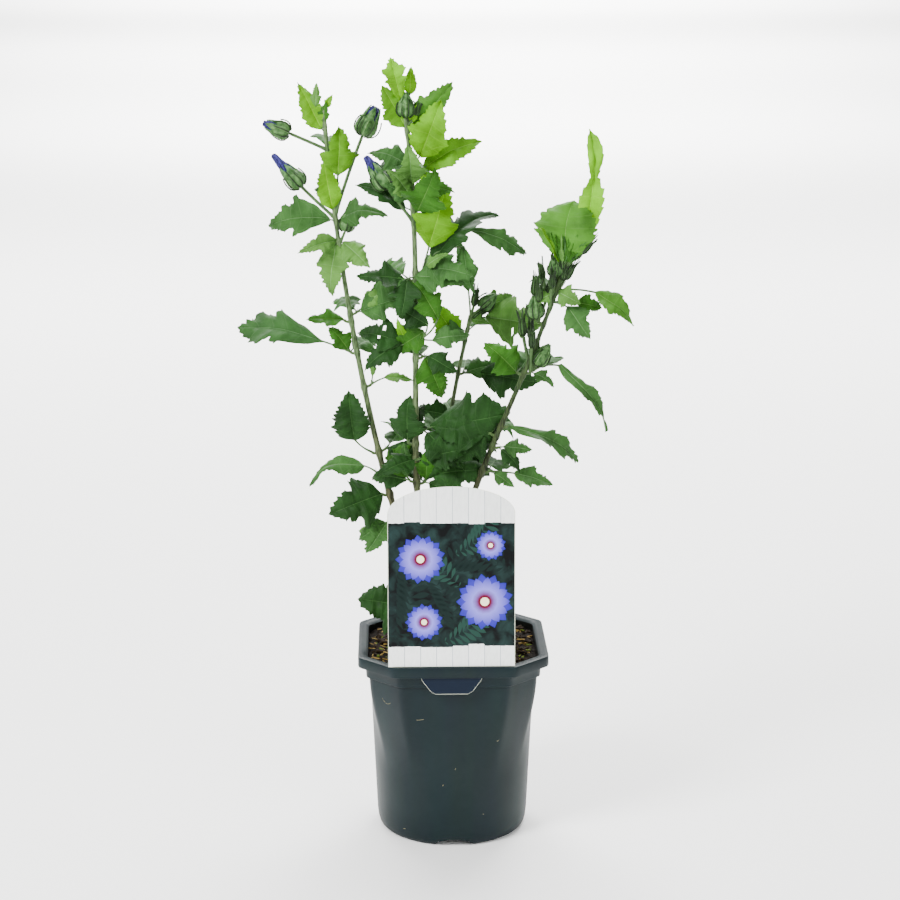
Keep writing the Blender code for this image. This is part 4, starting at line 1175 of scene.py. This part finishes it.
STRAP = ((0, 0.02), (0.05, 0.05), (0.10, 0.085), (0.16, 0.115), (0.22, 0.13), (0.28, 0.135),
         (0.33, 0.13), (0.375, 0.135), (0.42, 0.12), (0.46, 0.10), (0.50, 0.085), (0.545, 0.055),
         (0.59, 0.04), (0.62, 0.045), (0.65, 0.06), (0.68, 0.07), (0.72, 0.085), (0.76, 0.09),
         (0.80, 0.085), (0.84, 0.08), (0.88, 0.075), (0.92, 0.06), (0.96, 0.035), (1.0, 0.003))
FORMS = {"ovate": OVATE, "lobed": LOBED, "wedge": WEDGE, "fan": FAN, "strap": STRAP}
HALVINGS = 2  # rows of faces between two neighbouring lines
COLUMNS = (0.0, 0.06, 0.30, 0.58, 0.82, 1.0)  # points from the midrib to the edge
SIDE_VEINS = 6
BUCKLE = 0.085  # how far the blade buckles, and how long one buckle is, as shares of the blade
BUCKLE_SPAN = 0.30
WAVE = 0.026  # how far the edge waves where a tint's wave is 1
QUILT = 0.020  # how far the skin swells between two side veins
CURL = 3.3
CURL_FROM = 0.45  # where along the blade the tip begins to curl
SWAY = 0.06
TWIST = 28
UNEVEN = 0.09  # how much one half of a blade differs from the other, line by line
LOBE_FOOT = 0.43  # the line that the side lobe's main vein ends on
TOOTH = 0.030  # how far a tooth stands out, as a share of the blade's length
TOOTH_LINES = 4  # lines from one tooth to the next
TEETH_FROM = 0.14  # where along the blade the teeth begin
WEDGE_TEETH_FROM = 0.40
HOLE = (0.07, 0.022)  # half the size of a hole across and along, as shares of the blade

# Upper face, vein and under face; shares of the ovate and the lobed form, the rest being the wedge;
# how much the edge waves and the sides and the tip droop; and the skin's roughness.
Tint = namedtuple("Tint", "upper vein under ovate lobed wave droop gloss")
TINTS = {
    "pale": Tint("62a00c", "80b434", "78a840", 0.7, 0.3, 1.6, 0.35, 0.60),
    "lime": Tint("548c06", "70a028", "66942e", 0.75, 0.25, 1.2, 0.30, 0.58),
    "young": Tint("4a7e10", "66922e", "5d8a38", 0.6, 0.4, 1.2, 0.35, 0.56),
    "fresh": Tint("3c6c1e", "568038", "527a3e", 0.3, 0.7, 1.3, 0.45, 0.55),
    "light": Tint("4a7430", "648c50", "5e8456", 0.3, 0.7, 1.4, 0.45, 0.56),
    "strong": Tint("285213", "44682a", "486936", 0.25, 0.75, 1.3, 0.50, 0.54),
    "mid": Tint("315526", "4e7042", "4e6d45", 0.15, 0.85, 1.5, 0.60, 0.54),
    "blue": Tint("2c4e24", "46663e", "44623c", 0.0, 0.3, 1.0, 0.25, 0.54),
    "dark": Tint("1a3614", "304e27", "37542f", 0.15, 0.85, 1.4, 0.55, 0.52),
    "deep": Tint("10260b", "233a18", "294022", 0.2, 0.8, 1.3, 0.50, 0.52),
}
LONG_BLADE = 56  # old leaves at least this long take the wedge form
STALK_LAP = 1.0  # how far a blade reaches back over its stalk's end


def leaf_surface(name, colour, vein, gloss, strength):
    """Leaf skin with pale side veins that follow the blade's own UV, and a fine net between them."""
    paint = Paint(name, gloss, 0.07)
    across, along, _ = paint.add("SeparateXYZ", {"Vector": paint.spot(uv=True)}).node.outputs
    steps = paint.maths("FRACT", paint.maths("MULTIPLY", along, SIDE_VEINS))
    from_side_vein = paint.maths("ABSOLUTE", paint.maths("SUBTRACT", steps, 0.5))
    side = paint.limits(from_side_vein, 0.02, 0.06, 0.8, 0.0)
    slant = paint.maths("MULTIPLY", paint.maths("ABSOLUTE", paint.maths("SUBTRACT", across, 0.5)), 2 * LOBE_FOOT)
    from_main_vein = paint.maths("ABSOLUTE", paint.maths("SUBTRACT", slant, along))
    main = paint.limits(from_main_vein, 0.004, 0.017, 1.0, 0.0)
    cells = paint.add("TexVoronoi", {"Vector": paint.spot(), "Scale": 330}, "Distance", feature="DISTANCE_TO_EDGE")
    net = paint.limits(cells, 0.0, 0.10, 0.22, 0.0)
    lines = paint.maths("MAXIMUM", paint.maths("MAXIMUM", side, net), main)
    cloud = paint.noise(48, 4)
    base = paint.mix(1.0, hex_colour(colour), paint.limits(cloud, 0.3, 0.7, 0.62, 1.38), "MULTIPLY")
    paint.plug(
        Base_Color=paint.mix(paint.maths("MULTIPLY", lines, strength), base, hex_colour(vein)),
        Normal=paint.bump(lines, 0.45, 0.0005, invert=True, Normal=paint.bump(cloud, 0.5, 0.004)),
    )
    return paint


def smooth_at(values, spot):
    """A value between the entries of a list, on a smooth curve through them."""
    i = min(int(spot), len(values) - 2)
    t = spot - i
    a, b, c, d = (values[min(max(k, 0), len(values) - 1)] for k in (i - 1, i, i + 1, i + 2))
    return b + 0.5 * t * (c - a + t * (2 * a - 5 * b + 4 * c - d + t * (3 * (b - c) + d - a)))


def leaf_form(leaf, dice):
    """The blade's own mix of the forms, as ends along the blade and half widths of both sides."""
    tint = TINTS[leaf.tint]
    parts = {"ovate": tint.ovate * dice.uniform(0.6, 1.3), "lobed": tint.lobed * dice.uniform(0.6, 1.3),
             "wedge": max(0.0, 1 - tint.ovate - tint.lobed)}
    if leaf.blade >= LONG_BLADE and tint.ovate <= 0.35:
        parts["wedge"] = 2.5
    if leaf.form:
        parts[leaf.form] = 6.0
    whole = sum(parts.values())
    ends, lefts, rights = [], [], []
    for i in range(len(FEET)):
        ends.append(sum(FORMS[name][i][0] * share for name, share in parts.items()) / whole)
        half = sum(FORMS[name][i][1] * share for name, share in parts.items()) / whole
        lefts.append(half * dice.uniform(1 - UNEVEN, 1 + UNEVEN))
        rights.append(half * dice.uniform(1 - UNEVEN, 1 + UNEVEN))
    return ends, lefts, rights, WEDGE_TEETH_FROM if parts["wedge"] > 1 else TEETH_FROM


def blade(leaf, turn, base, seed):
    """One leaf blade as a closed thin solid: upper face slot 0, under face slot 1, midrib slot 2."""
    dice = random.Random(seed)
    tint = TINTS[leaf.tint]
    ends, lefts, rights, teeth_from = leaf_form(leaf, dice)
    axis = bearing(turn, leaf.aim)
    tilt = math.radians(leaf.tilt)
    face_to = Vector((0, -math.sin(tilt), math.cos(tilt)))
    normal = (face_to - axis * face_to.dot(axis)).normalized()
    across = axis.cross(normal)
    fold = math.radians(leaf.fold)
    sag = math.radians(leaf.sag)
    phase = dice.uniform(0, 2 * math.pi)
    waves = dice.uniform(1.2, 2.2)
    droops = [tint.droop * dice.uniform(-0.3, 1.25) for _ in range(2)]
    curl = tint.droop * dice.uniform(0.0, 0.5) * leaf.blade
    sway = dice.uniform(-SWAY, SWAY) * leaf.blade
    twist = math.radians(dice.uniform(-TWIST, TWIST))
    bias = Vector((0, 0, dice.uniform(0, 90)))
    bites = {(sign, i): dice.uniform(0.15, 1.3) for sign in (-1, 1) for i in range(len(FEET) * HALVINGS)}
    lines = (len(FEET) - 1) * HALVINGS
    sides = len(COLUMNS) - 1
    bm = bmesh.new()
    uv = bm.loops.layers.uv.new("UVMap")
    grid = bmesh.ops.create_grid(bm, x_segments=2 * sides, y_segments=lines, size=1.0)["verts"]
    spots = {}
    for vertex in grid:
        column = round(vertex.co.x * sides)
        line = round((vertex.co.y + 1) / 2 * lines)
        spot = line / HALVINGS
        foot = smooth_at(FEET, spot)
        out = COLUMNS[abs(column)]
        sign = -1 if column < 0 else 1
        half = smooth_at(lefts if sign < 0 else rights, spot)
        end = smooth_at(ends, spot)
        if teeth_from < foot < 0.97:
            tooth = TOOTH * out ** 3 * (line % TOOTH_LINES) / (TOOTH_LINES - 1)
            tooth *= bites[sign, line // TOOTH_LINES]
            half += tooth
            end += 0.5 * tooth
        half *= leaf.broad * leaf.blade
        if abs(column) == 1:
            out = min(out, RIB_HALF * (1 - 0.7 * foot) / max(half, 0.01))
        along = foot + (end - foot) * out
        run = along * leaf.blade
        side = sign * out * half
        quilt = 0.5 - 0.5 * math.cos(2 * math.pi * SIDE_VEINS * foot)
        lift = abs(side) * math.sin(fold) * (1 - 0.25 * out)
        lift -= droops[column > 0] * half * out ** 2.2
        lift += sag * 0.5 * run * (1 - along)
        lift -= curl * max(0.0, along - CURL_FROM) ** 2 * CURL
        lift += tint.wave * WAVE * leaf.blade * out ** 2 * math.sin(phase + waves * 2 * math.pi * foot + sign)
        lift += QUILT * leaf.blade * quilt * out * (1 - out) * 4 * leaf.broad
        place = Vector((side, run, 0)) / (BUCKLE_SPAN * leaf.blade) + bias
        lift += BUCKLE * leaf.blade * (0.3 + 0.7 * out) * noise.noise(place)
        angle = twist * along
        flat = side * math.cos(fold) + sway * along * along
        vertex.co = (
            base
            + axis * run
            + across * (flat * math.cos(angle) - lift * math.sin(angle))
            + normal * (lift * math.cos(angle) + flat * math.sin(angle))
        )
        spots[vertex] = (0.5 + 0.5 * sign * out, foot, abs(column))
    for face in bm.faces:
        for corner in face.loops:
            corner[uv].uv = spots[corner.vert][:2]
        face.material_index = 2 if max(spots[v][2] for v in face.verts) <= 1 else 0
    for across_at, along_at in leaf.holes:
        eaten = []
        for face in bm.faces:
            middle = [sum(spots[v][i] for v in face.verts) / 4 for i in (0, 1)]
            if abs(middle[0] - across_at) < HOLE[0] and abs(middle[1] - along_at) < HOLE[1]:
                eaten.append(face)
        bmesh.ops.delete(bm, geom=eaten, context="FACES")
    bm.normal_update()
    bmesh.ops.solidify(bm, geom=bm.faces[:], thickness=LEAF_THICKNESS * min(1.0, 0.5 + leaf.blade / 80))
    outward(bm)
    bm.normal_update()
    for face in bm.faces:
        if face.normal.dot(normal) < 0 and face.material_index == 0:
            face.material_index = 1
    return bm


leaf_sheets = {tint: bmesh.new() for tint in TINTS}
for sheet in leaf_sheets.values():
    sheet.loops.layers.uv.new("UVMap")
masses_of = {tint: set() for tint in TINTS}
for number, (mass, part, root) in enumerate(GROWN):
    if isinstance(part, Bud):
        continue
    end = stalk_path(root, part.turn, part.rise, part.stalk, part.aim, 2)[-1]
    base = end - bearing(part.turn, part.aim) * STALK_LAP
    merge(leaf_sheets[part.tint], blade(part, part.turn, base, f"{mass}{number}"))
    masses_of[part.tint].add(mass)
for name, tint in TINTS.items():
    skins = [
        leaf_surface(f"leaf_upper_{name}", tint.upper, tint.vein, tint.gloss, 0.28),
        leaf_surface(f"leaf_under_{name}", tint.under, tint.vein, 0.62, 0.5),
        leaf_surface(f"leaf_midrib_{name}", tint.vein, tint.vein, 0.5, 0.2),
    ]
    piece(f"leaves_{name}", leaf_sheets[name], skins, sorted(masses_of[name]), sharp=50)


# ---------------------------------------------------------------- flower buds
# Egg-shaped buds on green stalks: five sepals with raised pale seams close round the petals, inside a
# ring of narrow bracts; the ripest ones show the tip of their rolled violet-blue petals.
CALYX_SLIM = 0.39
SMALL_BUD = 16
SMALL_SLIM = 0.48  # a small bud's calyx beside a large one's
STRIP_HALF = 0.62  # half thickness of a bract or a sepal's tip
STRIP_HOLLOW = 0.25
BRACT_LIFT = 0.3  # from the calyx out to a bract's foot
BRACT_HUG = 0.4  # the least that a bract keeps from the bud's axis, as a share of the calyx
BRACT_STEPS = 8
BRACT_HALVES = (0.5, 0.75, 0.8, 0.75, 0.65, 0.55, 0.4, 0.1)
SEAM_RADII = (0.26, 0.36, 0.44, 0.46, 0.44, 0.40, 0.36, 0.30, 0.22, 0.08)
SEPAL_DEPTH = 0.20
PETAL_RIBS = 7
PETAL_DEPTH = 0.42
SEPALS = 5
BUD_SEED = 21
# Along the bud and out from its axis: a sepal's free tip, with the share that it spreads by when the bud
# opens; the rolled petals inside the calyx and past it, with their twist; and the calyx itself.
SEPAL_TIP = ((0.55, 0.86, 0), (0.70, 0.72, 0), (0.84, 0.50, 0.5), (0.97, 0.26, 1), (1.07, 0.12, 1))
SEPAL_TIP_HALVES = (0.10, 0.34, 0.30, 0.16, 0.03)
OPEN_SPREAD = 0.30
CLOSED_SPREAD = 0.02
ROLL_INSIDE = ((0.5, 0.66, 0), (0.72, 0.68, 0.2), (0.88, 0.58, 0.5))
ROLL_SHOWN = ((0.15, 0.52, 0.8), (0.4, 0.45, 1.1), (0.62, 0.38, 1.4), (0.8, 0.34, 1.6), (0.93, 0.29, 1.8),
              (1.0, 0.12, 1.9))
EGG = ((0, 0.30), (0.04, 0.58), (0.11, 0.84), (0.22, 0.98), (0.34, 1.0), (0.48, 0.94), (0.62, 0.80),
       (0.75, 0.61), (0.86, 0.42), (0.94, 0.25), (1.0, 0.06))


def ribbed_egg(stand, profile, ribs, depth, spin, sides):
    """A closed turned form with lengthwise ribs; profile is (place, radius, twist) from foot to tip."""
    rings = []
    for place, radius, turn in profile:
        ring = []
        for side in range(sides):
            angle = 2 * math.pi * side / sides
            wave = abs(math.cos(0.5 * ribs * (angle - spin)))
            reach = radius * (1 - depth * (1 - wave) ** 0.7)
            ring.append(stand @ Vector((reach * math.cos(angle + turn), reach * math.sin(angle + turn), place)))
        rings.append(ring)
    return skinned(rings)


def egg_at(place):
    """Half width of the calyx at a place along it, as a share of its widest."""
    for (a, low), (b, high) in zip(EGG, EGG[1:]):
        if place <= b:
            return low + (high - low) * (place - a) / (b - a)
    return 0.0


def flat_blade(path, widths, out):
    """A narrow leafy strip along a path, thin across the direction that faces out."""
    corners = 8
    rings = []
    for i, (point, width) in enumerate(zip(path, widths)):
        along = (path[min(i + 1, len(path) - 1)] - path[max(i - 1, 0)]).normalized()
        thick = (out - along * out.dot(along)).normalized()
        across = along.cross(thick)
        ring = []
        for corner in range(corners):
            angle = 2 * math.pi * corner / corners
            deep = STRIP_HALF * math.sin(angle) - STRIP_HOLLOW * width * math.cos(angle) ** 2
            ring.append(point + across * (width * math.cos(angle)) + thick * deep)
        rings.append(ring)
    return skinned(rings)


calyxes, seams, petals, bracts = (bmesh.new() for _ in range(4))
bud_masses = set()
dice = random.Random(BUD_SEED)
for mass, part, root in GROWN:
    if isinstance(part, Leaf):
        continue
    bud_masses.add(mass)
    axis = bearing(part.turn, part.aim)
    foot = stalk_path(root, part.turn, part.rise, part.stalk, part.aim, 2)[-1] - axis * ROOT_SUNK * 0.5
    stand = Matrix.Translation(foot) @ axis.to_track_quat("Z", "Y").to_matrix().to_4x4()
    size = part.size
    small = size <= SMALL_BUD
    wide = size * (CALYX_SLIM * SMALL_SLIM if small else CALYX_SLIM)
    bract_count = 9 if small else 8
    spin = dice.uniform(0, 1)
    merge(calyxes, ribbed_egg(stand, [(p * size, r * wide, 0.0) for p, r in EGG], SEPALS, SEPAL_DEPTH, spin, 40))
    for sepal in range(SEPALS):
        turn = spin + 2 * math.pi * sepal / SEPALS
        out = Vector((math.cos(turn), math.sin(turn), 0))
        seam = [stand @ (out * wide * r * 0.99 + Vector((0, 0, p * size))) for p, r in EGG[1:]]
        merge(seams, skinned(rings_along(seam, SEAM_RADII, 6)))
        open_by = OPEN_SPREAD if part.petals else CLOSED_SPREAD
        tip = [stand @ (out * wide * (r + open_by * spread) + Vector((0, 0, z * size)))
               for z, r, spread in SEPAL_TIP]
        merge(calyxes, flat_blade(tip, [wide * w for w in SEPAL_TIP_HALVES], stand.to_3x3() @ out))
    for bract in range(bract_count):
        turn = spin + 2 * math.pi * bract / bract_count + dice.uniform(-0.25, 0.25)
        out = Vector((math.cos(turn), math.sin(turn), 0))
        length = size * (dice.uniform(1.1, 1.7) if small else dice.uniform(0.6, 0.95))
        lean = dice.uniform(0.02, 0.34 if small else 0.30)
        bow = 0.4 if small else dice.uniform(0.2, 1.3)
        path = []
        for i in range(BRACT_STEPS):
            share = i / (BRACT_STEPS - 1)
            rise = length * share * (1 - 0.25 * lean)
            hug = max(egg_at(rise / size), BRACT_HUG)
            reach = wide * hug + BRACT_LIFT + bow * math.sin(0.8 * math.pi * share) + length * lean * share ** 3 * 0.4
            path.append(stand @ (out * reach + Vector((0, 0, rise - 0.02 * size))))
        merge(bracts, flat_blade(path, BRACT_HALVES, stand.to_3x3() @ out))
    if part.petals:
        profile = [(p * size, wide * r, t) for p, r, t in ROLL_INSIDE]
        profile += [((0.9 + 0.1 * p) * size + part.petals * p, wide * r, t) for p, r, t in ROLL_SHOWN]
        merge(petals, ribbed_egg(stand, profile, PETAL_RIBS, PETAL_DEPTH, spin + 0.4, 56))


BUD_SKINS = (
    ("bud_calyxes", calyxes, "green_sepal", "224718", "527a42", 240, 0.6, sorted(bud_masses)),
    ("bud_seams", seams, "pale_sepal_seam", "40682e", "6a8c56", 240, 0.6, ()),
    ("bud_bracts", bracts, "dark_bract", "0d1f08", "243f17", 220, 0.6, ()),
    ("bud_petals", petals, "rolled_blue_petal", "0a0730", "3c3a80", 520, 0.65, ()),
)
for name, bm, matter, dark, pale, scale, roughness, nodes in BUD_SKINS:
    paint = grained(matter, roughness, 0.25, scale, 3, ((0.35, dark), (0.65, pale)))
    piece(name, bm, [paint], nodes, sharp=180)


# ---------------------------------------------------------------- floor and light
# A plain pale studio floor, a large soft light from the front left above, weaker ones from the right
# and from above and an even pale surround; all the others light the floor behind the plant.
FLOOR_REACH = 45.0
floor_bm = bmesh.new()
bmesh.ops.create_grid(floor_bm, x_segments=1, y_segments=1, size=FLOOR_REACH)
floor_mesh = bpy.data.meshes.new("floor")
floor_bm.to_mesh(floor_mesh)
floor_bm.free()
floor = bpy.data.objects.new("floor", floor_mesh)
floor_mesh.materials.append(Paint("pale_floor", 0.9, colour="fbfbfa").material)
bpy.context.scene.collection.objects.link(floor)

surround = bpy.data.worlds.new("surround")
surround.use_nodes = True
background = surround.node_tree.nodes["Background"].inputs
background["Color"].default_value = (1.0, 1.0, 1.0, 1.0)
background["Strength"].default_value = 0.70
bpy.context.scene.world = surround


def soft_light(name, place, target, size, power):
    """A square area light that faces its target."""
    data = bpy.data.lights.new(name, "AREA")
    data.size = size
    data.energy = power
    light = bpy.data.objects.new(name, data)
    light.location = place
    light.rotation_euler = (Vector(target) - Vector(place)).to_track_quat("-Z", "Y").to_euler()
    bpy.context.scene.collection.objects.link(light)


PLANT_MIDDLE = (0, 0, 0.35)
soft_light("key_light", (-1.3, -1.2, 1.7), PLANT_MIDDLE, 0.7, 84)
soft_light("fill_light", (1.2, -1.6, 1.0), PLANT_MIDDLE, 1.0, 20)
soft_light("top_light", (0.2, 0.7, 1.9), PLANT_MIDDLE, 0.9, 36)
soft_light("floor_light_left", (-1.2, 3.2, 2.6), (-0.4, 3.0, 0), 2.0, 260)
soft_light("floor_light_right", (1.2, 3.2, 2.6), (0.4, 3.0, 0), 2.0, 260)
FAR_LIGHTS = ((7, 4, 5200), (12, 6, 12000), (20, 8, 26000), (32, 10, 42000))  # distance, height, power
for reach, rise, power in FAR_LIGHTS:
    spot_data = bpy.data.lights.new(f"far_floor_light_{reach}", "SPOT")
    spot_data.energy = power
    spot_data.spot_size = math.radians(110)
    spot_data.spot_blend = 1.0
    spot_data.shadow_soft_size = 0.5
    spot = bpy.data.objects.new(spot_data.name, spot_data)
    spot.location = (0, reach, rise)
    spot.rotation_euler = (math.radians(12), 0, 0)
    bpy.context.scene.collection.objects.link(spot)
